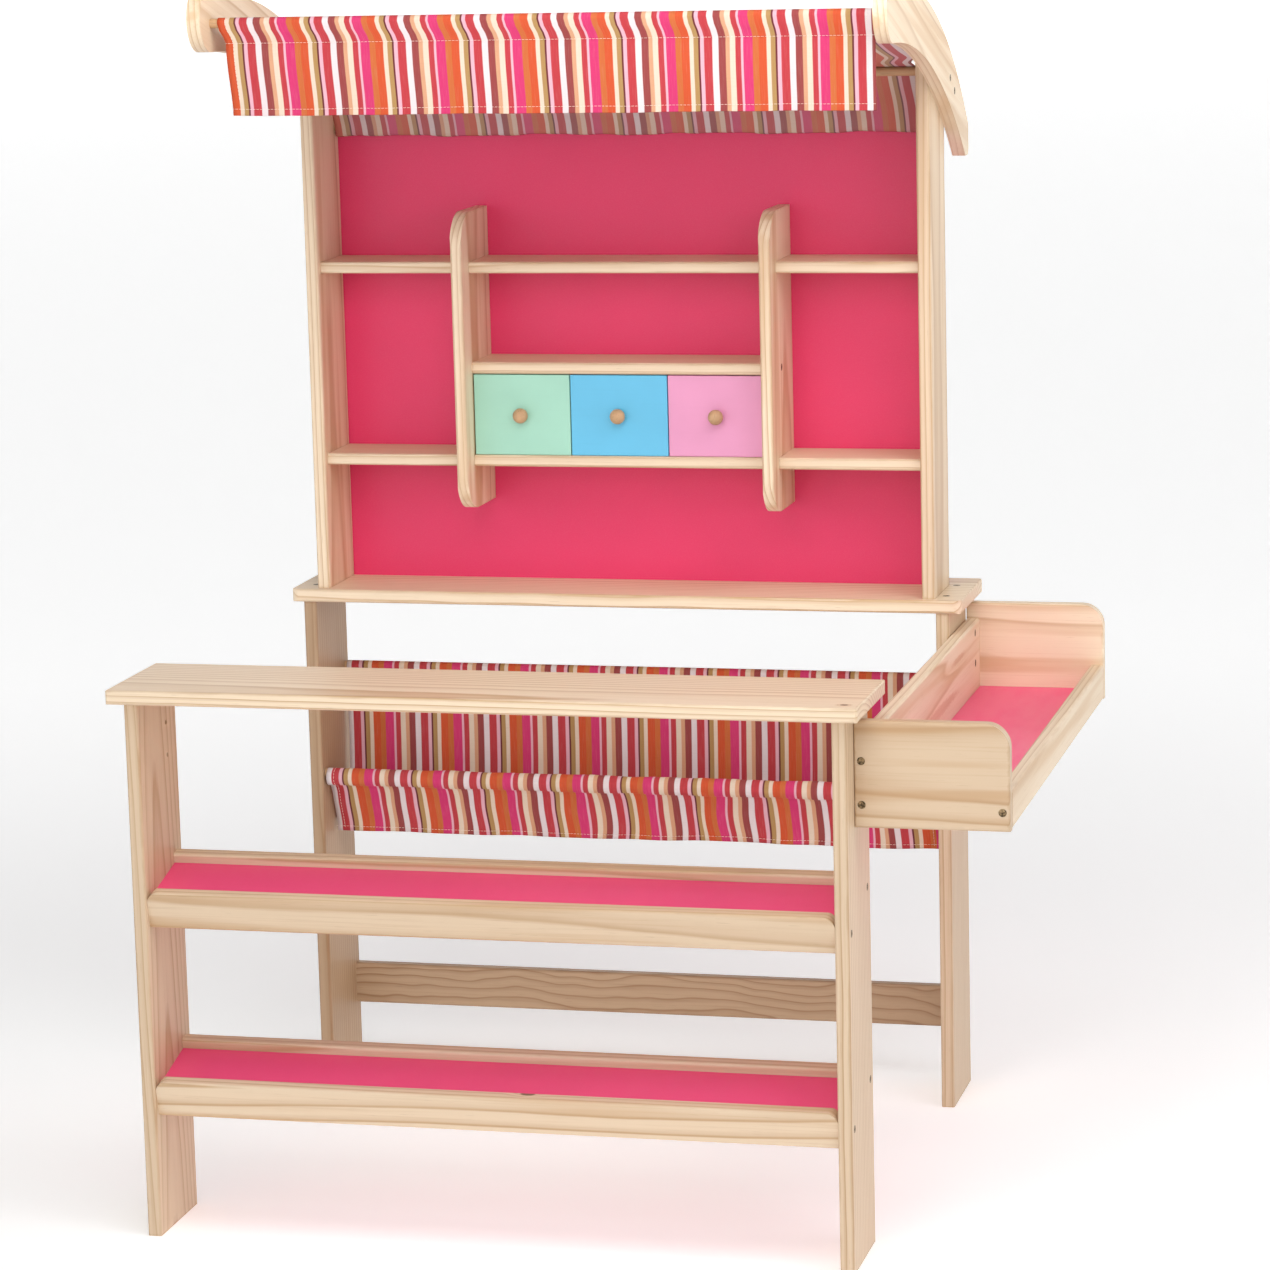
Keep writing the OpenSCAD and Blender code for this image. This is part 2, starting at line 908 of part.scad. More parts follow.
module canopy_cloth() {
    over = rod_r + 2 * fit + cloth_t / 2;
    front = [front_rod_y, front_rod_z];
    middle = [mid_rod_y, mid_rod_z];
    rear = [rear_rod_y, rear_rod_z];
    w = arm_x1 - up_x0 - 2 * cloth_side;
    n = up_in1 - up_in0 - 2 * cloth_in;
    x0 = up_x0 + cloth_side;
    step = (w - n) / 2;
    tuck = up_y - cloth_clear;
    valance = [[-3, 1], [-3.5, 0.62], [-2.5, 0.28], [0.5 - over, 0.09]];
    seam = [[12, -0.02], [8, 0.09], [2, 0.2], [-2, 0.29]];
    roof = [[0.2, 0.23], [0.5, 0.51], [0.8, 0.75]];
    fall = [[0.34, 0.27], [0.69, 0.64]];
    stall(fabric) intersection() {
        translate([x0, 0, 0]) along_x(w) {
            ribbon(concat([for (q = valance) front + [q[0], -q[1] * valance_l]],
                arc(front, over, 180, 70, 7), between(front, middle, roof),
                arc(middle, over, 105, 35, 4), between(middle, rear, fall),
                arc(rear, over, 130, -190, 15)), cloth_t);
            ribbon([for (q = seam) front + [q[0], -q[1] * valance_l]], cloth_t);
        }
        linear_extrude(upright_top + 2 * arm_h + head_r) polygon([[x0, 0], [x0 + w, 0],
            [x0 + w, tuck - cloth_taper], [x0 + w - step, tuck], [x0 + w - step, up_end],
            [x0 + step, up_end], [x0 + step, tuck], [x0, tuck - cloth_taper]]);
    }
}

// side tray
module side_end_wall(y) {
    translate([side_x0, y, side_z]) intersection() {
        translate([-side_w, 0, -wall_h]) along_y(board_t) rrect(2 * side_w, 2 * wall_h, wall_r);
        along_x(side_w) rrect(board_t, wall_h, edge_r);
        linear_extrude(wall_h) rrect(side_w, board_t, end_r);
    }
}

module side_floor_slab(g) {
    e = panel_t;
    translate([side_x0 + board_t - e - g, side_y + board_t - e - g, side_z + side_floor - panel_t - g])
        cube([side_w - 2 * board_t + 2 * e + 2 * g,
            side_end - side_y - 2 * board_t + 2 * e + 2 * g, panel_t + 2 * g]);
}

module side_tray_front() {
    stall(pine) difference() {
        side_end_wall(side_y);
        side_end_screws(side_y, to_rear, fit);
        side_floor_slab(fit);
    }
}

module side_tray_rear() {
    stall(pine) difference() {
        side_end_wall(side_end - board_t);
        side_end_screws(side_end, to_front, fit);
        side_floor_slab(fit);
    }
}

module side_long_wall(x, h) {
    l = side_end - side_y - 2 * board_t;
    translate([x, side_y + board_t, side_z]) along_y(l) rrect(board_t, h, edge_r);
}

module side_tray_inner() {
    stall(pine) difference() {
        side_long_wall(side_x0, inner_h);
        side_end_screws(side_y, to_rear, fit);
        side_end_screws(side_end, to_front, fit);
        side_inner_screws(counter_screw_y, fit);
        side_inner_screws(rear_screw_y, fit);
        side_floor_slab(fit);
    }
}

module side_tray_outer() {
    stall(pine) difference() {
        side_long_wall(side_x1 - board_t, outer_h);
        side_end_screws(side_y, to_rear, fit);
        side_end_screws(side_end, to_front, fit);
        side_floor_slab(fit);
    }
}

module side_tray_floor() {
    stall(raspberry) side_floor_slab(0);
}

counter_top();
counter_leg_left();
counter_leg_right();
upper_tray_front_rail();
upper_tray_back_rail();
upper_tray_floor();
lower_tray_front_rail();
lower_tray_back_rail();
lower_tray_floor();
rear_leg_left();
rear_leg_right();
rear_stretcher();
mid_board();
sling_rear_rod();
sling_front_rod();
sling_cloth();
upright_left();
upright_right();
back_panel();
top_shelf();
low_shelf();
short_shelf();
divider_left();
divider_right();
canopy_arm_left();
canopy_arm_right();
canopy_front_rod();
canopy_middle_rod();
canopy_rear_rod();
canopy_cloth();
side_tray_front();
side_tray_rear();
side_tray_inner();
side_tray_outer();
side_tray_floor();
green_drawer_front();
green_drawer_sides();
green_drawer_back();
green_drawer_bottom();
green_drawer_knob();
blue_drawer_front();
blue_drawer_sides();
blue_drawer_back();
blue_drawer_bottom();
blue_drawer_knob();
pink_drawer_front();
pink_drawer_sides();
pink_drawer_back();
pink_drawer_bottom();
pink_drawer_knob();
screws();
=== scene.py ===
"""Toy market stall: wood, paint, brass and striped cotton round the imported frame, in a pale studio."""

import math
import random
from typing import NamedTuple

import bpy
from bpy.props import FloatProperty, FloatVectorProperty, IntProperty, PointerProperty
from mathutils import Matrix, Vector


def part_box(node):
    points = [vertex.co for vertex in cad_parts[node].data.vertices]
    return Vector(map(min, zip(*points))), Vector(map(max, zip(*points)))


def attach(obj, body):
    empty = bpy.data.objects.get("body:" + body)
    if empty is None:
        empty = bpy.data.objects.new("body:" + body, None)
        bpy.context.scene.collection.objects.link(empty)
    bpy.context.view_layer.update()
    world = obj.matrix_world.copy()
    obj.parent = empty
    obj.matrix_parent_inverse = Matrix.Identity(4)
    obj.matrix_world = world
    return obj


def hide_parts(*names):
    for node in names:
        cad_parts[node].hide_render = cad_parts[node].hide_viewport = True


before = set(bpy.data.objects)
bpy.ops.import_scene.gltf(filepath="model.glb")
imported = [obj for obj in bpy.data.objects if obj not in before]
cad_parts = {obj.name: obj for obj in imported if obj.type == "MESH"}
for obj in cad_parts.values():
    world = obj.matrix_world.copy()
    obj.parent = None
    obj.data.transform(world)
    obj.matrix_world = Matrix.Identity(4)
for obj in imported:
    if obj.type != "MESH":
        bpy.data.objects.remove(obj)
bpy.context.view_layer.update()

bl_info = {
    "name": "Toy Market Stall",
    "version": (1, 0, 0),
    "blender": (4, 5, 0),
    "location": "View3D > Sidebar > Stall",
    "description": "Finishes a wooden toy market stall with its canopy, sling and studio",
    "category": "Object",
}

STALL = "stall"
DRAWERS = ("green", "blue", "pink")


class Cut(NamedTuple):
    """How a board was sawn from its log, in metres, and how its grain looks."""

    beside: float  # from the board's middle to the heart of the log, across the board
    below: float  # the same, through the board
    lean: float  # slope of the board against the log
    sway: float  # sideways sway of the rings
    clear: float  # clearness of the rings in pale patches
    sway_waves: float = 4.0  # waves of the sway in a metre
    drift: float = 0.014  # slow change of the rings' depth
    spacing: float = 1.0  # ring distance, as a share of the usual one
    waver: float = 0.28  # unevenness of a ring, as a share of the ring distance
    late: float = 1.0  # tone of the late wood
    streaks: float = 0.0  # strength of the soft tan streaks


CUTS = {
    "rift": Cut(0.150, 0.105, 0.004, 0.007, 0.62),
    "flat": Cut(0.010, 0.055, 0.026, 0.007, 0.62, drift=0.020),
    "band": Cut(0.014, 0.190, 0.006, 0.007, 0.78, waver=0.12, streaks=0.60),
    "plank": Cut(0.060, 0.100, 0.004, 0.009, 0.85),
    "wild": Cut(0.050, 0.036, 0.012, 0.046, 0.86, sway_waves=7.0, spacing=1.45, late=0.82),
}
# each board: its cut and its tone; the low tones of the left counter leg, the left rear leg, the stretcher
# and the side tray's front are painted shade
BOARDS = {
    # the left counter leg's low tone is painted shade
    "counter_top": ("plank", 1.02), "counter_leg_left": ("flat", 0.82), "counter_leg_right": ("rift", 0.85),
    "upper_tray_front_rail": ("band", 0.88), "upper_tray_back_rail": ("band", 0.96),
    "lower_tray_front_rail": ("band", 0.92), "lower_tray_back_rail": ("band", 0.96),
    # the left rear leg's and the stretcher's low tones are painted shade under the counter
    "rear_leg_left": ("rift", 0.53), "rear_leg_right": ("rift", 0.82), "rear_stretcher": ("wild", 0.55),
    "mid_board": ("plank", 1.04), "upright_left": ("band", 1.02), "upright_right": ("band", 0.91),
    "top_shelf": ("rift", 1.0), "low_shelf": ("rift", 1.0), "short_shelf": ("rift", 1.0),
    "divider_left": ("band", 1.05), "divider_right": ("band", 1.05),
    "canopy_arm_left": ("band", 0.98), "canopy_arm_right": ("band", 0.98),
    # the side tray front's low tone is painted shade
    "side_tray_front": ("band", 0.81), "side_tray_rear": ("band", 1.06),
    "side_tray_inner": ("band", 1.06), "side_tray_outer": ("band", 0.98),
}
DRAWER_CUTS = {"sides": "rift", "back": "band", "bottom": "rift"}
BOARDS |= {f"{drawer}_drawer_{side}": (cut, 1.0) for drawer in DRAWERS for side, cut in DRAWER_CUTS.items()}
# turn of the grain about X, in degrees
TILTS = {"canopy_arm_left": -17, "canopy_arm_right": -17}
# noise of the grain: waves per metre along it and across it, octaves and roughness
GRAIN = {
    "drift": (1.3, 5, 1.0, 0.5), "waver": (9, 70, 2.0, 0.5), "fibre": (7, 420, 3.0, 0.6),
    "patch": (2.2, 30, 2.0, 0.5), "warmth": (1.6, 14, 1.0, 0.5), "streak": (2.0, 48, 1.5, 0.5),
    "fleck": (42, 1300, 1.0, 0.5), "ragged": (130, 420, 3.0, 0.5), "wear": (25, 160, 3.0, 0.5),
}


class Mark(NamedTuple):
    """How a knot or a resin streak shows in the grain."""

    ragged: float  # unevenness of its outline
    lift: float  # rings that bend round it
    core: float  # share of its size that has the full colour
    strength: float  # share of its colour


class Knot(NamedTuple):
    """Place and size of a knot or a resin streak on its board."""

    place: tuple
    long: float  # half length along the grain
    wide: float  # half width
    resin: bool = False


KNOT_MARK = Mark(ragged=0.35, lift=1.1, core=0.75, strength=0.90)
RESIN_MARK = Mark(ragged=0.9, lift=0.3, core=0.55, strength=0.42)
KNOTS = {
    "counter_top": (Knot((0.301, -0.366, 0.580), 0.0045, 0.0032),),
    "lower_tray_front_rail": (Knot((-0.033, -0.357, 0.168), 0.0085, 0.0034),),
    "side_tray_inner": (Knot((0.318, 0.068, 0.485), 0.120, 0.0075, True),
                        Knot((0.318, 0.190, 0.520), 0.045, 0.004, True)),
    "divider_left": (Knot((-0.247, 0.225, 0.905), 0.006, 0.0026),),
}
RODS = ("canopy_front_rod", "canopy_middle_rod", "canopy_rear_rod", "sling_rear_rod", "sling_front_rod")
FLOORS = ("upper_tray_floor", "lower_tray_floor", "side_tray_floor")

# shares of the way between two places, along Y and along Z, where the cloth passes
ROOF = ((0.10, 0.08), (0.22, 0.235), (0.5, 0.52), (0.8, 0.755))
REAR_SLOPE = ((0.34, 0.27), (0.69, 0.64))
SLING_REAR = ((0.9, 0.75), (0.89, 0.5), (0.84, 0.3), (0.62, 0.14), (0.2, 0.075), (0.02, 0.055), (0, 0))
SLING_FRONT = ((0.0, 0.0), (0.02, 0.14), (0.33, 0.43), (0.7, 0.71))
# the canopy's way in front of the rear rod and under it, from the rod's middle
REAR_LOOP = ((-0.0056, -0.0030), (-0.0032, -0.0094), (0.0012, -0.0106), (0.0048, -0.0068))
SLACK = 0.0004  # air between a rod and its cloth
VALANCE_SET = 0.0030  # from the front rod's middle to the valance in front of it
FOLD_AIR = 0.0002  # air inside the fold of a hem
LEFT_INSET = 0.006  # bare rod at the canopy's left edge
UPRIGHT_AIR = 0.002  # air between the canopy and an upright
TUCK = 0.006  # from the canopy's full narrowing to the uprights
NARROWING = 0.054  # length over which the canopy narrows
FLARE, LAG = 0.0075, 0.005  # sideways shift of the valance's left end below the rod and at its foot
ROLL = 0.010  # radius of the sling's front roll
SLING_DEPTH = 0.027  # from the sling's front rod back to its lower edge
SLING_AIR = 0.0007  # from the bottom of the sling's solid to its lower edge
LAP_AIR = 0.0003  # air between the sling's two panels
HEM_SEAM = 0.007  # from the canopy's lower fold to the seam above it
SLING_SEAM = 0.006  # from the sling's lower edge to the seam above it
SIDE_SEAMS = (0.012, 0.988)  # places of the side seams, as shares of the width
COLUMNS = 150  # squares of a sheet across its width
SEAM_STEPS = 300  # steps of a seam across the width
WARP, WEFT = 0.00085, 0.00095  # distance of the threads in the weave
STRIPE_BLUR = 0.003  # soft edge of a stripe, as a share of the repeat
REVERSE_DULL_AND_SHADE = 0.26  # greying of the fabric's reverse: partly the duller back of the cloth, partly painted shade

FLOOR_RADIUS, WALL_RADIUS, WALL_HEIGHT = 45, 44, 20
GLOW_NEAR, GLOW_FAR = 0.7, 3.2  # distances between which the floor's glow rises
SENSOR = 36  # width of the camera's frame, in millimetres
SIGHT = 200  # how far the camera sees
# each lamp: kind, place, aim and its size, or its angle for a sun
LAMPS = {
    "fill": ("AREA", (0.0, -1.6, 1.42), (0, 0.3, 0.95), 0.5),
    "boom": ("AREA", (0.1, -1.0, 2.0), (0, 0.3, 0.75), 1.0),
    "over": ("AREA", (1.2, -0.6, 2.2), (0.2, 0, 0.5), 1.2),
    "sky": ("SUN", (0.2, -3.0, 2.6), (0, 0.2, 0.9), math.radians(40)),
}

# stripes of one repeat, left to right: colour and width in millimetres
STRIPES = (
    ("orange", 8.5), ("cream", 4.5), ("olive", 5), ("plum", 2), ("blush", 4),
    ("crimson", 9), ("chalk", 6.5), ("maroon", 7.5), ("peach", 4.5), ("cream", 6),
    ("crimson", 6), ("blush", 2.5), ("fuchsia", 10), ("amber", 6.5),
)
REPEAT = sum(width for _, width in STRIPES)


def colour(name, value, words):
    return FloatVectorProperty(name=name, description=words, subtype="COLOR", size=3,
                               min=0, max=1, default=value)


def length(name, value, words, low=0.0, high=1.0):
    return FloatProperty(name=name, description=words, subtype="DISTANCE", unit="LENGTH",
                         default=value, min=low, max=high, precision=4)


class StallWood(bpy.types.PropertyGroup):
    """Colours and grain of the wooden pieces."""

    pale: colour("Early wood", (0.820, 0.660, 0.480), "Pale wood between the rings")
    tan: colour("Late wood", (0.570, 0.365, 0.195), "Darker wood of the rings")
    knot: colour("Knot", (0.130, 0.070, 0.030), "Centre of a small knot")
    resin: colour("Resin", (0.560, 0.230, 0.110), "Reddish streak in the grain")
    beech: colour("Beech", (0.520, 0.320, 0.170), "Rods and knobs")
    ring: length("Ring", 0.0062, "Distance from one ring to the next", 0.001, 0.03)
    seed: IntProperty(name="Seed", description="Picks the grain of every board", default=7, min=0)


class StallPaint(bpy.types.PropertyGroup):
    """Colours of panels, drawer fronts and screws."""

    raspberry: colour("Panel", (0.775, 0.040, 0.143), "Coated panels")
    # the panel's own coat made lighter and bluer for the lying floors: painted light from above and painted
    # sheen
    lit_tray_floor: colour("Tray floor", (0.920, 0.086, 0.245), "Coated floors of the trays")
    fibre: colour("Panel edge", (0.250, 0.140, 0.075), "Sawn edge of a panel")
    mint: colour("Mint", (0.368, 0.682, 0.537), "First drawer front")
    sky: colour("Sky", (0.128, 0.516, 0.774), "Second drawer front")
    rose: colour("Rose", (0.765, 0.320, 0.522), "Third drawer front")
    brass: colour("Brass", (0.220, 0.155, 0.085), "Antique brass of the screws")


class StallCloth(bpy.types.PropertyGroup):
    """Stripes and sizes of the fabric."""

    orange: colour("Orange", (0.57, 0.085, 0.028), "Wide stripe")
    amber: colour("Amber", (0.54, 0.135, 0.040), "Stripe beside the orange")
    cream: colour("Cream", (0.72, 0.580, 0.460), "Pale warm stripes")
    olive: colour("Olive", (0.41, 0.240, 0.090), "Green-brown stripe")
    plum: colour("Plum", (0.14, 0.025, 0.030), "Narrow dark stripe")
    blush: colour("Blush", (0.72, 0.400, 0.470), "Narrow pale pink stripes")
    crimson: colour("Crimson", (0.47, 0.045, 0.055), "Red stripes")
    chalk: colour("Chalk", (0.72, 0.630, 0.640), "White stripe")
    maroon: colour("Maroon", (0.29, 0.057, 0.055), "Dark red stripe")
    peach: colour("Peach", (0.62, 0.325, 0.190), "Narrow warm stripe")
    fuchsia: colour("Fuchsia", (0.60, 0.040, 0.150), "Widest stripe")
    repeat: length("Repeat", REPEAT / 1000, "Width of one repeat of the stripes", 0.02, 0.3)
    thick: length("Thickness", 0.0006, "Thickness of the cotton", 0.0002, 0.002)
    valance: length("Valance", 0.097, "Length of the hanging front below its rod", 0.04, 0.2)
    pocket: length("Pocket", 0.021, "Rod to the seam of its pocket", 0.015, 0.05)
    hem: length("Hem", 0.014, "Width of a turned hem", 0.005, 0.03)
    stitch: length("Stitch", 0.003, "Length of a stitch", 0.001, 0.008)
    thread: length("Thread", 0.0005, "Thickness of the sewing thread", 0.0003, 0.0015)


class StallStudio(bpy.types.PropertyGroup):
    """Camera and light."""

    eye: FloatVectorProperty(name="Camera", description="Place of the camera", subtype="TRANSLATION",
                             default=(1.11866, -4.41863, 1.41944), precision=4)
    yaw: FloatProperty(name="Yaw", description="Turn of the camera to the left", subtype="ANGLE",
                       default=math.radians(14.203))
    pitch: FloatProperty(name="Pitch", description="Downward tilt of the camera", subtype="ANGLE",
                         default=math.radians(10.495))
    roll: FloatProperty(name="Roll", description="Roll of the camera", subtype="ANGLE",
                        default=math.radians(1.455))
    lens: FloatProperty(name="Lens", description="Focal length on a 36 mm frame", subtype="DISTANCE_CAMERA",
                        default=122.714, min=10)
    floor: colour("Floor", (0.900, 0.900, 0.900), "Pale studio floor")
    glow: FloatProperty(name="Glow", description="Light that the white floor gives off far away",
                        default=0.60, min=0)
    wall: FloatProperty(name="Wall", description="Light of the white wall far around", default=0.66, min=0)
    fill: FloatProperty(name="Fill light", description="Soft box in front of the shelves", subtype="POWER",
                        default=3, min=0)
    boom: FloatProperty(name="Boom light", description="Soft box in front, above the counter",
                        subtype="POWER", default=11.5, min=0)
    over: FloatProperty(name="Top light", description="Soft box high above the side tray", subtype="POWER",
                        default=18, min=0)
    sky: FloatProperty(name="Sky light", description="Wide soft light from above the front",
                       default=0.15, min=0)
    room: FloatProperty(name="Room", description="Even light of the white room", default=0.10, min=0)


GROUPS = {
    "stall_wood": StallWood, "stall_paint": StallPaint,
    "stall_cloth": StallCloth, "stall_studio": StallStudio,
}


class Wire:
    """An output socket of a finish; arithmetic on it adds Math nodes."""

    def __init__(self, finish, socket):
        self.finish, self.socket = finish, socket

    def math(self, operation, *others):
        return self.finish.add("Math", {"operation": operation}, dict(enumerate((self, *others))))

    def __add__(self, other):
        return self.math("ADD", other)

    __radd__ = __add__

    def __sub__(self, other):
        return self.math("SUBTRACT", other)

    def __rsub__(self, other):
        return self.finish.add("Math", {"operation": "SUBTRACT"}, {0: other, 1: self})

    def __mul__(self, other):
        return self.math("MULTIPLY", other)

    __rmul__ = __mul__

    def __truediv__(self, other):
        return self.math("DIVIDE", other)

    def part(self):
        return self.math("FRACT")

    def wave(self):
        return self.math("SINE")

    def size(self):
        return self.math("ABSOLUTE")

    def rise(self, low, high):
        """Smooth step from 0 at low to 1 at high."""
        return self.finish.add("MapRange", {"interpolation_type": "SMOOTHSTEP"},
                               {0: self, 1: low, 2: high, 3: 0.0, 4: 1.0})


class Finish:
    """A material in the making; add() makes any node and gives its output as a Wire."""

    def __init__(self, name):
        self.material = bpy.data.materials.new(name)
        self.material.use_nodes = True
        self.tree = self.material.node_tree
        self.shader = self.tree.nodes["Principled BSDF"]

    def add(self, kind, settings=None, sockets=None, out=0):
        node = self.tree.nodes.new("ShaderNode" + kind)
        for key, value in (settings or {}).items():
            if key == "stops":
                ramp = node.color_ramp.elements
                while len(ramp) < len(value):
                    ramp.new(0.5)
                for element, (place, tint) in zip(ramp, value):
                    element.position, element.color = place, (*tint, 1.0)
            elif key == "blending":
                node.color_ramp.interpolation = value
            else:
                setattr(node, key, value)
        for key, value in (sockets or {}).items():
            self.set(node.inputs[key], value)
        return Wire(self, node.outputs[out])

    def set(self, socket, value):
        if isinstance(value, Wire):
            self.tree.links.new(value.socket, socket)
        else:
            socket.default_value = (*value, 1.0) if socket.type == "RGBA" else value

    def place(self, turn=(0, 0, 0), shift=(0, 0, 0)):
        """Object coordinates, turned and shifted."""
        here = self.add("TexCoord", out="Object")
        return self.add("Mapping", None, {"Vector": here, "Rotation": turn, "Location": shift})

    def stretch(self, vector, sizes):
        return self.add("VectorMath", {"operation": "MULTIPLY"}, {0: vector, 1: sizes})

    def noise(self, vector, sizes, detail=2.0, rough=0.5):
        return self.add("TexNoise", None, {"Vector": self.stretch(vector, sizes), "Scale": 1.0,
                                           "Detail": detail, "Roughness": rough})

    def grit(self, vector, waves, detail=2.0, rough=0.5):
        """Noise with the same size every way."""
        return self.noise(vector, (waves, waves, waves), detail, rough)

    def grain(self, vector, name):
        along, across, detail, rough = GRAIN[name]
        return self.noise(vector, (along, across, across), detail, rough)

    def axis(self, vector, letter):
        return self.add("SeparateXYZ", None, {0: vector}, out=letter)

    def mix(self, share, a, b):
        return self.add("Mix", {"data_type": "RGBA"}, {0: share, 6: a, 7: b}, out=2)

    def bump(self, height, strength, distance):
        return self.add("Bump", None, {"Height": height, "Strength": strength, "Distance": distance})

    def surface(self, **sockets):
        for key, value in sockets.items():
            self.set(self.shader.inputs[key.replace("_", " ")], value)
        return self.material


def shade(tone, gain):
    return tuple(min(1.0, c * gain) for c in tone)


def season(tone, gain):
    """Scales a tone and makes it redder as it darkens; on boards whose low tone is painted shade, this paints
    that shade warmer.
    """
    return tuple(min(1.0, c * gain ** power) for c, power in zip(tone, (1.0, 1.3, 1.6)))


def coat(node, material):
    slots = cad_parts[node].data.materials
    slots.clear()
    slots.append(material)


def grain_turn(node):
    """Rotation that lays a board's grain on X and its thickness on Z, its middle and its half sizes."""
    low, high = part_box(node)
    size = high - low
    order = sorted(range(3), key=lambda i: size[i])
    if node.endswith("_drawer_sides"):
        # the box holds both sides, so its longest way isn't the grain's
        order = [0, 2, 1]
    deep, along = (Vector([float(i == k) for i in range(3)]) for k in (order[0], order[2]))
    along = Matrix.Rotation(math.radians(TILTS.get(node, 0)), 3, "X") @ along
    across = deep.cross(along)
    half = [size[k] / 2 for k in reversed(order)]
    return Matrix((along, across, along.cross(across))), (low + high) / 2, half


def knot_distance(f, turn, knot):
    """Distance from a knot's middle, 1 at its outline."""
    here = f.add("TexCoord", out="Object")
    shift = f.add("Mapping", None, {"Vector": here, "Rotation": turn.to_euler(),
                                    "Location": -(turn @ Vector(knot.place))})
    sizes = (1 / knot.long, 1 / knot.wide, 1 / knot.wide)
    return f.add("VectorMath", {"operation": "LENGTH"}, {0: f.stretch(shift, sizes)}, out="Value")


def edge_wear(f, p, axes, heart, half):
    """Ragged wear at the edges, where two of the three distances to the board's faces are small."""
    a, b, c = (h - (axis - at).size() for h, axis, at in zip(half, axes, heart))
    arris = a.math("MINIMUM", b).math("MAXIMUM", a.math("MAXIMUM", b).math("MINIMUM", c))
    return (arris + (f.grain(p, "wear") - 0.5) * 0.007).rise(0.0030, 0.0004)


def pine(node, cut, tone, wood, dice):
    """Sawn pine: rings round the heart of the log, fibres, resin flecks and the odd knot."""
    f = Finish("pine_" + node)
    turn, middle, half = grain_turn(node)
    beside, below, lean, sway, clear = (value * dice.uniform(0.9, 1.1) for value in cut[:5])
    heart = Vector((dice.uniform(-0.4, 0.4), beside * dice.choice((-1, 1)), below))
    p = f.place(turn.to_euler(), heart - turn @ middle)
    axes = [f.axis(p, letter) for letter in "XYZ"]
    along, across, deep = axes
    side = across + (f.noise(p, (cut.sway_waves, 12, 12)) - 0.5) * sway
    slope = lean * dice.choice((-1, 1))
    depth = deep + along * slope + (f.grain(p, "drift") - 0.5) * cut.drift
    rings = (side * side + depth * depth).math("SQRT") / (wood.ring * cut.spacing)
    knots = []
    for knot in KNOTS.get(node, ()):
        mark = RESIN_MARK if knot.resin else KNOT_MARK
        off = knot_distance(f, turn, knot)
        rings = rings + off.rise(3.2, 0.4) * mark.lift
        ragged = off + (f.grain(p, "ragged") - 0.5) * mark.ragged
        knots.append((ragged.rise(1.15, mark.core) * mark.strength, wood.resin if knot.resin else wood.knot))
    ring = (rings + (f.grain(p, "waver") - 0.5) * cut.waver).part()
    # the board's tone from BOARDS; where it is low it is painted shade
    gain = tone * dice.uniform(0.98, 1.02)
    pale = season(wood.pale, gain)
    tan = season(wood.tan, gain * dice.uniform(0.96, 1.04) * cut.late)
    soft = tuple(0.66 * a + 0.34 * b for a, b in zip(pale, tan))
    shades = f.add("ValToRGB", {"blending": "EASE", "stops": (
        (0.0, pale), (0.40, pale), (0.72, soft), (0.90, tan), (0.965, soft), (1.0, pale))}, {0: ring})
    fibre = f.grain(p, "fibre")
    fleck = f.grain(p, "fleck").rise(0.70, 0.78)
    base = f.mix(f.grain(p, "patch").rise(0.30, 0.75) * (1 - clear), shades, pale)
    base = f.mix(f.grain(p, "warmth").rise(0.35, 0.75) * 0.30, base, shade(pale, 0.93))
    base = f.mix(fibre.rise(0.48, 0.80) * 0.28, base, shade(tan, 0.96))
    if cut.streaks:
        base = f.mix(f.grain(p, "streak").rise(0.51, 0.70) * cut.streaks, base, shade(tan, 1.12))
    base = f.mix(fleck * 0.30, base, shade(tan, 0.66))
    if node not in TILTS and "rail" not in node:
        # the arms are curved and the rails tilted, so their boxes say nothing of their edges
        base = f.mix(edge_wear(f, p, axes, heart, half) * 0.34, base, shade(tan, 0.90))
    for share, stain in knots:
        base = f.mix(share, base, stain)
    height = fibre * 0.6 + ring.rise(0.5, 0.95) * 0.4 - fleck * 0.5
    return f.surface(
        Base_Color=base,
        Roughness=0.40 + fibre * 0.16 - ring.rise(0.6, 0.95) * 0.06,
        Specular_IOR_Level=0.50,
        Normal=f.bump(height, 0.26, 0.00030),
    )


def beech(name, turn, wood):
    """Fine-pored beech with short dark rays along the grain."""
    f = Finish(name)
    p = f.place(turn)
    pores = f.noise(p, (30, 1300, 1300), 2.0)
    rays = f.noise(p, (70, 620, 620), 1.0).rise(0.60, 0.72)
    bands = f.noise(p, (4, 90, 90), 3.0)
    base = f.mix(bands.rise(0.25, 0.75), shade(wood.beech, 0.90), shade(wood.beech, 1.14))
    rayed = f.mix(rays * 0.45, base, shade(wood.beech, 0.55))
    return f.surface(
        Base_Color=rayed,
        Roughness=0.42 + pores * 0.18,
        Normal=f.bump(pores - rays * 0.6, 0.22, 0.0002),
    )


def panel(name, paint, tone, face):
    """Coated board with a fine pearl texture; the sawn edge shows brown fibre."""
    f = Finish(name)
    p = f.place()
    pearl = f.grit(p, 1900, 2.0, 0.6)
    cloud = f.grit(p, 5, 3.0)
    rub = f.noise(p, (40, 9, 40), 4.0, 0.65)
    body = f.mix(cloud.rise(0.25, 0.75), shade(tone, 0.96), shade(tone, 1.04))
    fine = f.mix(pearl.rise(0.45, 0.80) * 0.10, body, (1.0, 0.42, 0.52))
    normal = f.add("TexCoord", out="Normal")
    edge = 1 - f.axis(normal, face).size().rise(0.4, 0.7)
    chips = f.grit(p, 700)
    sawn = f.mix(chips.rise(0.35, 0.65), paint.fibre, shade(paint.fibre, 1.7))
    return f.surface(
        Base_Color=f.mix(edge, fine, sawn),
        Roughness=0.29 + rub.rise(0.35, 0.75) * 0.10 + edge * 0.45,
        Specular_IOR_Level=0.38,
        Normal=f.bump(pearl + edge * chips * 3.0, 0.16, 0.00012),
    )


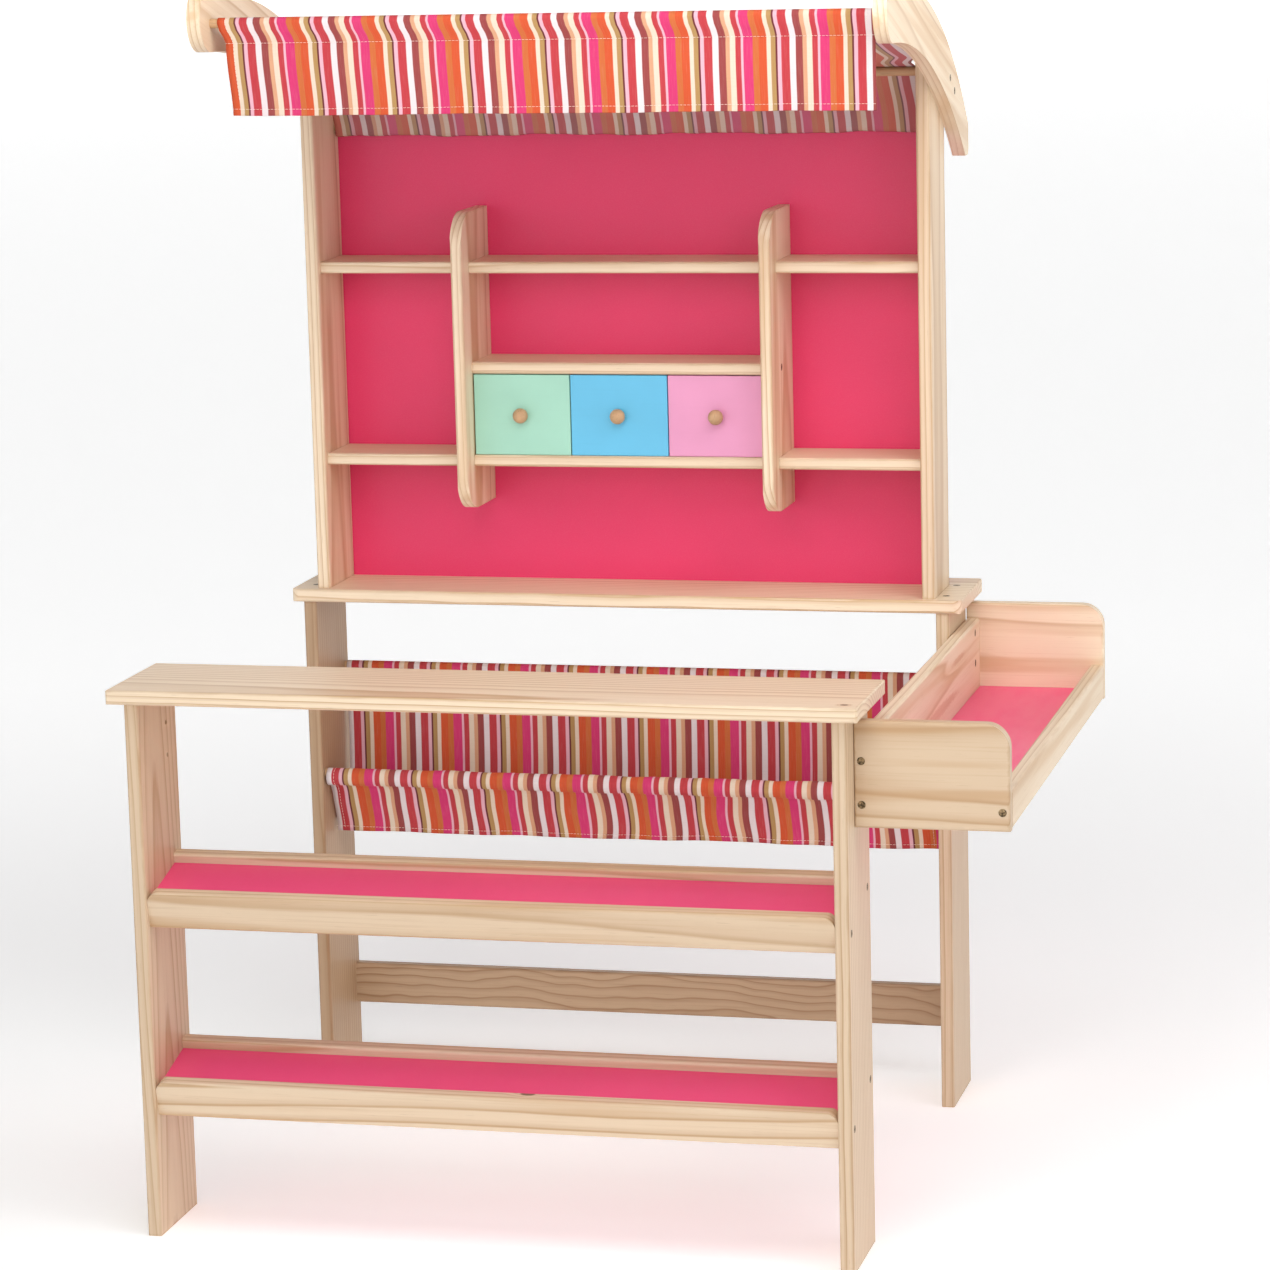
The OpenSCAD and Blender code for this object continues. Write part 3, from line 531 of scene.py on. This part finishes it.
def paint_coat(name, tone):
    """Satin paint rolled on wood: a stippled skin and faint grain under it."""
    f = Finish(name)
    p = f.place()
    stipple = f.grit(p, 850, 3.0, 0.55)
    ghost = f.noise(p, (14, 40, 420), 3.0)
    cloud = f.grit(p, 18)
    body = f.mix(cloud.rise(0.2, 0.8), shade(tone, 0.965), shade(tone, 1.035))
    grained = f.mix(ghost.rise(0.56, 0.80) * 0.10, body, shade(tone, 0.80))
    return f.surface(
        Base_Color=grained,
        Roughness=0.34 + stipple * 0.12,
        Coat_Weight=0.10 + cloud * 0.08,
        Coat_Roughness=0.30,
        Normal=f.bump(stipple * 0.7 + ghost * 0.6, 0.20, 0.00018),
    )


def antique(name, paint):
    """Darkened brass, rubbed brighter in patches."""
    f = Finish(name)
    p = f.place()
    tarnish = f.grit(p, 420, 4.0, 0.6)
    rub = f.grit(p, 1600)
    base = f.mix(tarnish.rise(0.35, 0.70), shade(paint.brass, 0.30), shade(paint.brass, 2.3))
    return f.surface(
        Base_Color=base,
        Metallic=0.80 + tarnish.rise(0.4, 0.7) * 0.2,
        Roughness=0.30 + tarnish * 0.22 + rub * 0.10,
        Normal=f.bump(rub, 0.15, 0.00010),
    )


def cotton(name, cloth, flip, dull_and_shade):
    """Woven stripes across the sheet's own flat coordinates, in metres; the last argument greys the reverse,
    partly as the duller back of the cloth and partly as painted shade.
    """
    f = Finish(name)
    uv = f.add("UVMap", {"uv_map": "flat"})
    across, down = f.axis(uv, "X"), f.axis(uv, "Y")
    wander = f.noise(uv, (60, 14, 1), 2.0)
    place = across * (-1.0 if flip else 1.0) / cloth.repeat + (wander - 0.5) * 0.012 + (4.0 + flip * 0.47)
    stops, at = [], 0.0
    for stripe, width in STRIPES:
        tone, share = getattr(cloth, stripe), width / REPEAT
        stops += [(at + STRIPE_BLUR, tone), (at + share - STRIPE_BLUR, tone)]
        at += share
    striped = f.add("ValToRGB", {"blending": "LINEAR", "stops": stops}, {0: place.part()})
    weave = (across * (math.tau / WARP)).wave() * (down * (math.tau / WEFT)).wave()
    slub = f.noise(uv, (900, 45, 1), 3.0, 0.6)
    cross = f.noise(uv, (45, 900, 1), 3.0, 0.6)
    base = f.mix(slub.rise(0.45, 0.85) * 0.06, striped, (0.94, 0.86, 0.82))
    base = f.mix(cross.rise(0.45, 0.85) * 0.08 + (weave * 0.5 + 0.5) * 0.06, base, (0.20, 0.07, 0.08))
    return f.surface(
        # the reverse greyed: partly the duller back of the cloth, partly painted shade
        Base_Color=f.mix(dull_and_shade, base, (0.46, 0.39, 0.40)) if dull_and_shade else base,
        Roughness=0.80 + slub * 0.14,
        Specular_IOR_Level=0.15,
        Normal=f.bump(weave * 0.5 + slub * 0.5 + cross * 0.4, 0.22, 0.00025),
    )


def yarn(name):
    """Cream sewing thread with a visible twist."""
    f = Finish(name)
    p = f.place()
    twist = ((f.axis(p, "X") + f.axis(p, "Z") * 0.6) * (math.tau / 0.0011)).wave()
    fuzz = f.grit(p, 3000)
    base = f.mix(twist * 0.5 + 0.5, (0.76, 0.60, 0.50), (0.92, 0.80, 0.72))
    return f.surface(
        Base_Color=base,
        Roughness=0.72 + fuzz * 0.2,
        Normal=f.bump(twist + fuzz * 0.5, 0.4, 0.0001),
    )


def smooth(x, low, high):
    t = min(1.0, max(0.0, (x - low) / (high - low)))
    return t * t * (3 - 2 * t)


def ripple(u, phase=0.0):
    """Uneven waves across the width, from -1 to 1."""
    slow = 0.50 * math.sin(math.tau * (2.3 * u + 0.11 + phase))
    middling = 0.30 * math.sin(math.tau * (5.7 * u + 0.43 + phase * 2))
    return slow + middling + 0.20 * math.sin(math.tau * (10.3 * u + 0.27 + phase * 3))


def rod_line(node):
    """(Y, Z) of the middle of a rod along X, and its radius."""
    low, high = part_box(node)
    return ((low.y + high.y) / 2, (low.z + high.z) / 2), (high.z - low.z) / 2


def bend(centre, radius, start, end, step=9):
    """Points on an arc in the Y and Z plane, from start to end degrees."""
    count = max(2, round(abs(end - start) / step))
    turns = (math.radians(start + (end - start) * i / count) for i in range(count + 1))
    return [(centre[0] + radius * math.cos(t), centre[1] + radius * math.sin(t)) for t in turns]


def stroke(points, step=0.006):
    """A smooth line through the points, with places about one step apart, as Y, Z and length so far."""
    line = []
    for i in range(len(points) - 1):
        a, b, c, d = (Vector(points[min(max(k, 0), len(points) - 1)]) for k in (i - 1, i, i + 1, i + 2))
        gap = (c - b).length
        count = max(1, round(gap / step))
        m0 = (c - a) * gap / max((b - a).length + gap, 1e-6) if i else c - b
        m1 = (d - b) * gap / max((d - c).length + gap, 1e-6) if i < len(points) - 2 else c - b
        for k in range(count):
            t = k / count
            line.append(b * (2 * t ** 3 - 3 * t ** 2 + 1) + m0 * (t ** 3 - 2 * t ** 2 + t)
                        + c * (3 * t ** 2 - 2 * t ** 3) + m1 * (t ** 3 - t ** 2))
    line.append(Vector(points[-1]))
    run, rows = 0.0, []
    for i, q in enumerate(line):
        run += (q - line[i - 1]).length if i else 0.0
        rows.append((q.x, q.y, run))
    return rows


def between(a, b, shares):
    """Places on the way from a to b, at shares of it along Y and along Z."""
    return [(a[0] + (b[0] - a[0]) * s, a[1] + (b[1] - a[1]) * t) for s, t in shares]


def pick(piece):
    """Makes a piece the only one selected, and the active one."""
    bpy.ops.object.select_all(action="DESELECT")
    piece.select_set(True)
    bpy.context.view_layer.objects.active = piece


def turn_faces():
    """Flips the active piece's faces."""
    bpy.ops.object.mode_set(mode="EDIT")
    bpy.ops.mesh.select_all(action="SELECT")
    bpy.ops.mesh.flip_normals()
    bpy.ops.object.mode_set(mode="OBJECT")


def sheet(name, rows, width, hang):
    """A grid with the cut sheet's flat coordinates, each point moved to its hung place by hang(u, row)."""
    bpy.ops.object.select_all(action="DESELECT")
    bpy.ops.mesh.primitive_grid_add(x_subdivisions=COLUMNS, y_subdivisions=len(rows) - 1, size=2,
                                    calc_uvs=True)
    piece = bpy.context.object
    piece.name = piece.data.name = name
    mesh = piece.data
    mesh.uv_layers[0].name = "flat"
    flat = []
    for vertex in mesh.vertices:
        u = (vertex.co.x + 1) / 2
        row = rows[round((vertex.co.y + 1) / 2 * (len(rows) - 1))]
        flat.append((u * width, row[2]))
        vertex.co = hang(u, row)
    for loop, uv in zip(mesh.loops, mesh.uv_layers[0].data):
        uv.uv = flat[loop.vertex_index]
    return piece


def make_cloth(piece, cloth, front, back, turn_over=False):
    """Turns the right side out, gives the sheet its thickness and its two sides."""
    pick(piece)
    if turn_over:
        turn_faces()
    piece.data.materials.append(front)
    piece.data.materials.append(back)
    solid = piece.modifiers.new("thickness", "SOLIDIFY")
    solid.thickness, solid.offset = cloth.thick, -1
    solid.material_offset, solid.use_even_offset = 1, False
    bpy.ops.object.modifier_apply(modifier=solid.name)
    bpy.ops.object.shade_smooth()
    return piece


def across_seam(hang, row, outward):
    """A seam from side to side, as pairs of place and outward."""
    return [(Vector(hang(i / SEAM_STEPS, row)), Vector(outward)) for i in range(SEAM_STEPS + 1)]


def side_seams(hang, rows, start=0.0, end=math.inf):
    """The two seams along a sheet's sides, between two lengths down its rows."""
    sewn = [three for three in zip(rows, rows[1:], rows[2:]) if start < three[1][2] < end]
    return [[(Vector(hang(u, row)), Vector((0, a[1] - c[1], c[0] - a[0]))) for a, row, c in sewn]
            for u in SIDE_SEAMS]


def sew(name, seams, cloth, material):
    """One stitch, modelled once, laid again and again along the seams: lists of (place, outward) pairs."""
    bpy.ops.object.select_all(action="DESELECT")
    bpy.ops.mesh.primitive_cylinder_add(vertices=6, radius=cloth.thread / 2, depth=cloth.stitch)
    stitch = bpy.context.object
    bpy.ops.object.mode_set(mode="EDIT")
    bpy.ops.mesh.select_all(action="SELECT")
    bpy.ops.mesh.bevel(offset=cloth.thread * 0.28, segments=1)
    bpy.ops.object.mode_set(mode="OBJECT")
    points = [v.co.copy() for v in stitch.data.vertices]
    faces = [tuple(p.vertices) for p in stitch.data.polygons]
    bpy.data.objects.remove(stitch)
    verts, polys = [], []
    pace = cloth.stitch * 1.32
    for seam in seams:
        run = 0.0
        for (a, out), (b, _) in zip(seam, seam[1:]):
            step = (b - a).length
            while run < step:
                along = (b - a).normalized()
                up = (out - along * out.dot(along)).normalized()
                basis = Matrix((up, along.cross(up), along)).transposed()
                start = len(verts)
                verts += [a + along * run + up * cloth.thread * 0.12 + basis @ q for q in points]
                polys += [tuple(i + start for i in face) for face in faces]
                run += pace
            run -= step
    mesh = bpy.data.meshes.new(name)
    mesh.from_pydata(verts, [], polys)
    mesh.materials.append(material)
    piece = bpy.data.objects.new(name, mesh)
    bpy.context.scene.collection.objects.link(piece)
    pick(piece)
    bpy.ops.object.shade_smooth()
    return piece


class STALL_OT_boards(bpy.types.Operator):
    """Gives every pine board its own grain"""

    bl_idname = "stall.boards"
    bl_label = "Pine boards"

    def execute(self, context):
        wood = context.scene.stall_wood
        for number, (node, (cut, tone)) in enumerate(BOARDS.items()):
            coat(node, pine(node, CUTS[cut], tone, wood, random.Random(wood.seed * 1000 + number)))
        return {"FINISHED"}


class STALL_OT_turned(bpy.types.Operator):
    """Finishes the rods and the drawer knobs in beech"""

    bl_idname = "stall.turned"
    bl_label = "Rods and knobs"

    def execute(self, context):
        wood = context.scene.stall_wood
        rod = beech("beech_rod", (0, 0, 0), wood)
        for node in RODS:
            coat(node, rod)
        knob = beech("beech_knob", (0, 0, -math.pi / 2), wood)
        for drawer in DRAWERS:
            coat(drawer + "_drawer_knob", knob)
        return {"FINISHED"}


class STALL_OT_panels(bpy.types.Operator):
    """Coats the back panel and the tray floors"""

    bl_idname = "stall.panels"
    bl_label = "Panels"

    def execute(self, context):
        paint = context.scene.stall_paint
        coat("back_panel", panel("coated_back", paint, paint.raspberry, "Y"))
        # the floors get the lighter copy of the panel's coat: painted light and painted sheen
        lit_lying = panel("coated_floor", paint, paint.lit_tray_floor, "Z")
        for node in FLOORS:
            coat(node, lit_lying)
        return {"FINISHED"}


class STALL_OT_fronts(bpy.types.Operator):
    """Paints the three drawer fronts"""

    bl_idname = "stall.fronts"
    bl_label = "Drawer fronts"

    def execute(self, context):
        paint = context.scene.stall_paint
        for drawer, tone in zip(DRAWERS, (paint.mint, paint.sky, paint.rose)):
            coat(drawer + "_drawer_front", paint_coat(drawer + "_paint", tone))
        return {"FINISHED"}


class STALL_OT_screws(bpy.types.Operator):
    """Darkens the brass screws"""

    bl_idname = "stall.screws"
    bl_label = "Screws"

    def execute(self, context):
        coat("screws", antique("antique_brass", context.scene.stall_paint))
        return {"FINISHED"}


def canopy_path(cloth, front, middle, rear, over):
    """The canopy's section from its turned hem to the rear rod, as Y and Z."""
    fy, fz = front
    face = fy - VALANCE_SET
    turned = face + 2 * cloth.thick + FOLD_AIR
    fold = (turned - face) / 2
    foot = fz - cloth.valance
    path = [(turned, foot + cloth.hem), (turned, foot + 0.006)]
    path += bend((face + fold, foot + fold), fold, 0, -180, 30)
    path += [(face, foot + 0.012), (face - 0.0006, fz - 0.060), (fy - 0.0026, fz - cloth.pocket)]
    path += [(fy - 0.0042, fz - 0.014), (fy - over + 0.0004, fz - 0.007)] + bend(front, over, 180, 74)
    path += between(front, middle, ROOF) + bend(middle, over, 105, 38) + between(middle, rear, REAR_SLOPE)
    path += [(rear[0] + y, rear[1] + z) for y, z in REAR_LOOP]
    return path + bend(rear, over, -20, 75)


class STALL_OT_canopy(bpy.types.Operator):
    """Sews the canopy: valance, rod pocket, roof and rear fall in one sheet"""

    bl_idname = "stall.canopy"
    bl_label = "Canopy"

    def execute(self, context):
        cloth = context.scene.stall_cloth
        low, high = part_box("canopy_cloth")
        front, radius = rod_line("canopy_front_rod")
        middle, rear = (rod_line(rod)[0] for rod in ("canopy_middle_rod", "canopy_rear_rod"))
        (fy, fz), (my, mz), (ry, rz) = front, middle, rear
        over = radius + SLACK + cloth.thick
        # the cloth narrows from the arms to the uprights on its way to the rear rod
        left = low.x + LEFT_INSET
        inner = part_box("upright_left")[1].x + UPRIGHT_AIR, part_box("upright_right")[0].x - UPRIGHT_AIR
        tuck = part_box("upright_left")[0].y - TUCK
        rows = stroke(canopy_path(cloth, front, middle, rear, over))
        tucked = next(run for y, z, run in rows if y > my and z < rz + 0.006)

        def edges(y):
            t = smooth(y, tuck - NARROWING, tuck)
            return left + (inner[0] - left) * t, high.x + (inner[1] - high.x) * t

        left_front = edges(fy)[0]
        width = high.x - left_front

        def hang(u, row):
            y, z, run = row
            start, end = edges(y)
            x = start + (end - start) * u
            drop = fz - z
            if y < fy - 0.0005 and drop > 0:
                # the valance hangs in slow waves, drawn in at its seams
                upper = smooth(drop, 0.0, cloth.pocket)
                lower = smooth(drop, cloth.pocket, cloth.valance)
                x += FLARE * upper * (1 - u ** 4) + LAG * lower * (1 - u)
                y += (0.0004 + 0.0020 * lower) * ripple(u) * upper
                for seam in (cloth.pocket, cloth.valance - HEM_SEAM):
                    y += 0.0005 * math.exp(-((drop - seam) / 0.0016) ** 2)
                z += 0.0006 * lower * ripple(u, 0.37)
            elif fy < y < my:
                # the roof sags between the rods
                t = (y - fy) / (my - fy)
                z -= math.sin(math.pi * t) * (0.0022 + 0.0016 * ripple(u, 0.2))
            elif run > tucked:
                # the loop at the rear rod is loose
                loose = smooth(run, tucked, tucked + 0.008)
                y -= 0.0008 * loose * (1 + ripple(u, 0.33)) if y < ry else 0.0
                z += 0.0016 * loose * ripple(u * 1.6, 0.8) if z < rz - 0.004 else 0.0
            elif y > my and z > rz + over:
                t = min(1.0, (mz - z) / (mz - rz))
                y += math.sin(math.pi * max(t, 0.0)) * 0.0014 * ripple(u, 0.55)
            return x, y, z

        def hang_pocket(u, row):
            y, z, _ = row
            x = left_front + FLARE * smooth(fz - z, 0.0, cloth.pocket) * (1 - u ** 4) + width * u
            return x, y + 0.0004 * ripple(u), z

        def seam(drop):
            row = min(rows, key=lambda row: abs(fz - row[1] - drop) + (row[0] > fy - 0.0022))
            return across_seam(hang, (row[0], fz - drop, 0), (0, -1, 0))

        face_side = cotton("striped_cotton", cloth, 0, 0)
        reverse = cotton("striped_cotton_reverse", cloth, 0, REVERSE_DULL_AND_SHADE)
        canopy = make_cloth(sheet("canopy", rows, width, hang), cloth, face_side, reverse)
        strip = stroke([(fy + 0.0100, fz + 0.0005), (fy + 0.0078, fz - 0.007), (fy + 0.0018, fz - 0.0155),
                        (fy - 0.0012, fz - cloth.pocket + 0.002), (fy - 0.0014, fz - cloth.pocket - 0.006)])
        pocket = make_cloth(sheet("canopy_pocket", strip, width, hang_pocket), cloth, reverse, face_side)
        seams = [seam(cloth.pocket), seam(cloth.valance - HEM_SEAM)]
        seams += side_seams(hang, rows, 2 * cloth.hem, tucked - 0.01)
        thread = sew("canopy_stitches", seams, cloth, yarn("cotton_thread"))
        for piece in (canopy, pocket, thread):
            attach(piece, STALL)
        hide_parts("canopy_cloth")
        area = sum((b[2] - a[2]) * (edges(a[0])[1] - edges(a[0])[0]) for a, b in zip(rows, rows[1:]))
        return {"FINISHED"}


class STALL_OT_sling(bpy.types.Operator):
    """Sews the sling: a rear panel and a rolled front panel, joined at the low hem"""

    bl_idname = "stall.sling"
    bl_label = "Sling"

    def execute(self, context):
        cloth = context.scene.stall_cloth
        low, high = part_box("sling_cloth")
        (fy, fz), radius = rod_line("sling_front_rod")
        rear = rod_line("sling_rear_rod")[0]
        ry, rz = rear
        over = radius + SLACK + cloth.thick
        # the front panel rolls loosely round its rod
        roll = (fy, fz + over - ROLL)
        foot = (fy + SLING_DEPTH, low.z + SLING_AIR)
        toe = (foot[0] - cloth.thick - LAP_AIR, foot[1])
        back_rows = stroke(bend(rear, over, -70, 185) + between(foot, rear, SLING_REAR))
        front_rows = stroke(between(toe, roll, SLING_FRONT) + bend(roll, ROLL, 285, -20))
        width = high.x - low.x

        def hang_back(u, row):
            y, z, _ = row
            t = smooth(z, rz, foot[1])
            y += (0.0015 * ripple(u, 0.3)) * math.sin(math.pi * t) if y < ry + over and z < rz - 0.02 else 0.0
            z += 0.0012 * ripple(u, 0.61) * smooth(t, 0.9, 1.0)
            return low.x + width * u, y, z

        def hang_front(u, row):
            y, z, _ = row
            t = min(1.0, max(0.0, (z - foot[1]) / (roll[1] - ROLL - foot[1])))
            if z > roll[1] - ROLL - 0.004:
                # the roll is uneven
                away = Vector((y - roll[0], z - roll[1]))
                puff = 1 + 0.055 * ripple(u * 2.1, 0.13) + 0.05 * ripple(u * 3.7, 0.4)
                y, z = roll[0] + away.x * puff, roll[1] + away.y * puff
            else:
                # waves down the panel and gathers below the roll
                y += (0.0032 * ripple(u * 1.7, 0.05) - 0.0010) * math.sin(math.pi * t) ** 0.8
                gather = smooth(t, 0.55, 0.86) * (1 - smooth(t, 0.88, 1.0))
                y += (0.0026 + 0.0012 * ripple(u * 4.3, 0.2)) * gather
            z += (0.0012 * ripple(u, 0.61) + 0.0016 * ripple(u * 0.6, 0.3)) * smooth(1 - t, 0.6, 1.0)
            lean = 0.004 * math.sin(math.pi * t) * ripple(u * 1.3, 0.7)
            return low.x + width * u + lean * 4 * u * (1 - u), y, z

        right = cotton("striped_cotton_sling", cloth, 1, 0)
        reverse = cotton("striped_cotton_sling_reverse", cloth, 1, REVERSE_DULL_AND_SHADE)
        back = make_cloth(sheet("sling", back_rows, width, hang_back), cloth, right, reverse, True)
        lap = make_cloth(sheet("sling_front", front_rows, width, hang_front), cloth, right, reverse)
        low_row = min(front_rows, key=lambda row: abs(row[1] - foot[1] - SLING_SEAM))
        seams = [across_seam(hang_front, low_row, (0, -1, 0.1)), *side_seams(hang_front, front_rows)]
        thread = sew("sling_stitches", seams, cloth, yarn("sling_thread"))
        for piece in (back, lap, thread):
            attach(piece, STALL)
        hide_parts("sling_cloth")
        return {"FINISHED"}


def lay_floor(studio):
    """A white floor that glows more far away."""
    bpy.ops.object.select_all(action="DESELECT")
    bpy.ops.mesh.primitive_circle_add(vertices=96, radius=FLOOR_RADIUS, fill_type="NGON")
    floor = bpy.context.object
    floor.name = "floor"
    f = Finish("studio_floor")
    dust = f.grit(f.place(), 3, 3.0)
    away = f.add("VectorMath", {"operation": "LENGTH"}, {0: f.place()}, out="Value")
    floor.data.materials.append(f.surface(
        Base_Color=f.mix(dust, shade(studio.floor, 0.99), studio.floor),
        Roughness=0.70 + dust * 0.1,
        Emission_Color=f.mix(away.rise(GLOW_NEAR, GLOW_FAR), (0.66, 0.66, 0.66), (1.0, 1.0, 1.0)),
        Emission_Strength=studio.glow,
    ))


def raise_wall(studio):
    """A round white wall far away, seen from inside."""
    bpy.ops.object.select_all(action="DESELECT")
    bpy.ops.mesh.primitive_cylinder_add(vertices=64, radius=WALL_RADIUS, depth=WALL_HEIGHT,
                                        end_fill_type="NOTHING")
    wall = bpy.context.object
    wall.name = "wall"
    wall.data.transform(Matrix.Translation((0, 0, WALL_HEIGHT / 2)))
    turn_faces()
    f = Finish("studio_wall")
    dust = f.grit(f.place(), 0.2)
    wall.data.materials.append(f.surface(
        Base_Color=f.mix(dust, shade(studio.floor, 0.99), studio.floor),
        Roughness=0.9,
        Emission_Color=(1.0, 1.0, 1.0),
        Emission_Strength=studio.wall,
    ))


def hang_lamps(scene, studio):
    """The even light of the room and the four lamps."""
    world = bpy.data.worlds.new("white_room")
    world.use_nodes = True
    room = world.node_tree.nodes["Background"].inputs
    room["Color"].default_value = (1, 1, 1, 1)
    room["Strength"].default_value = studio.room
    scene.world = world
    for name, (kind, place, aim, spread) in LAMPS.items():
        lamp = bpy.data.lights.new(name, kind)
        lamp.energy = getattr(studio, name)
        setattr(lamp, "angle" if kind == "SUN" else "size", spread)
        light = bpy.data.objects.new(name, lamp)
        light.location = place
        light.rotation_euler = (Vector(aim) - Vector(place)).to_track_quat("-Z", "Y").to_euler()
        scene.collection.objects.link(light)


def set_camera(scene, studio):
    """The camera at its place, turned by yaw, pitch and roll."""
    yaw, pitch, roll = studio.yaw, studio.pitch, studio.roll
    ahead = Vector((-math.sin(yaw) * math.cos(pitch), math.cos(yaw) * math.cos(pitch), -math.sin(pitch)))
    side = Vector((math.cos(yaw), math.sin(yaw), 0))
    down = ahead.cross(side)
    right = side * math.cos(roll) + down * math.sin(roll)
    up = side * math.sin(roll) - down * math.cos(roll)
    lens = bpy.data.cameras.new("camera")
    lens.sensor_fit, lens.sensor_width, lens.lens = "HORIZONTAL", SENSOR, studio.lens
    lens.clip_end = SIGHT
    camera = bpy.data.objects.new("camera", lens)
    turn = Matrix((right, up, -ahead)).transposed().to_4x4()
    camera.matrix_world = Matrix.Translation(studio.eye) @ turn
    scene.collection.objects.link(camera)
    scene.camera = camera
    scene.view_settings.view_transform = "Standard"


class STALL_OT_stage(bpy.types.Operator):
    """Sets the pale floor, the white wall, the soft lights and the camera"""

    bl_idname = "stall.stage"
    bl_label = "Studio"

    def execute(self, context):
        scene, studio = context.scene, context.scene.stall_studio
        lay_floor(studio)
        raise_wall(studio)
        hang_lamps(scene, studio)
        set_camera(scene, studio)
        return {"FINISHED"}


OPERATORS = (STALL_OT_boards, STALL_OT_turned, STALL_OT_panels, STALL_OT_fronts, STALL_OT_screws,
             STALL_OT_canopy, STALL_OT_sling, STALL_OT_stage)


class STALL_PT_panel(bpy.types.Panel):
    """Lists the stall's steps and settings"""

    bl_idname = "STALL_PT_panel"
    bl_label = "Market stall"
    bl_space_type = "VIEW_3D"
    bl_region_type = "UI"
    bl_category = "Stall"

    def draw(self, context):
        for operator in OPERATORS:
            self.layout.operator(operator.bl_idname)
        for key, group in GROUPS.items():
            box = self.layout.box()
            for name in group.__annotations__:
                box.prop(getattr(context.scene, key), name)


CLASSES = (*GROUPS.values(), *OPERATORS, STALL_PT_panel)


def register():
    for cls in CLASSES:
        bpy.utils.register_class(cls)
    for key, group in GROUPS.items():
        setattr(bpy.types.Scene, key, PointerProperty(type=group))


def unregister():
    for key in GROUPS:
        delattr(bpy.types.Scene, key)
    for cls in reversed(CLASSES):
        bpy.utils.unregister_class(cls)


def main():
    register()
    for operator in OPERATORS:
        group, name = operator.bl_idname.split(".")
        getattr(getattr(bpy.ops, group), name)()


if __name__ == "__main__":
    main()
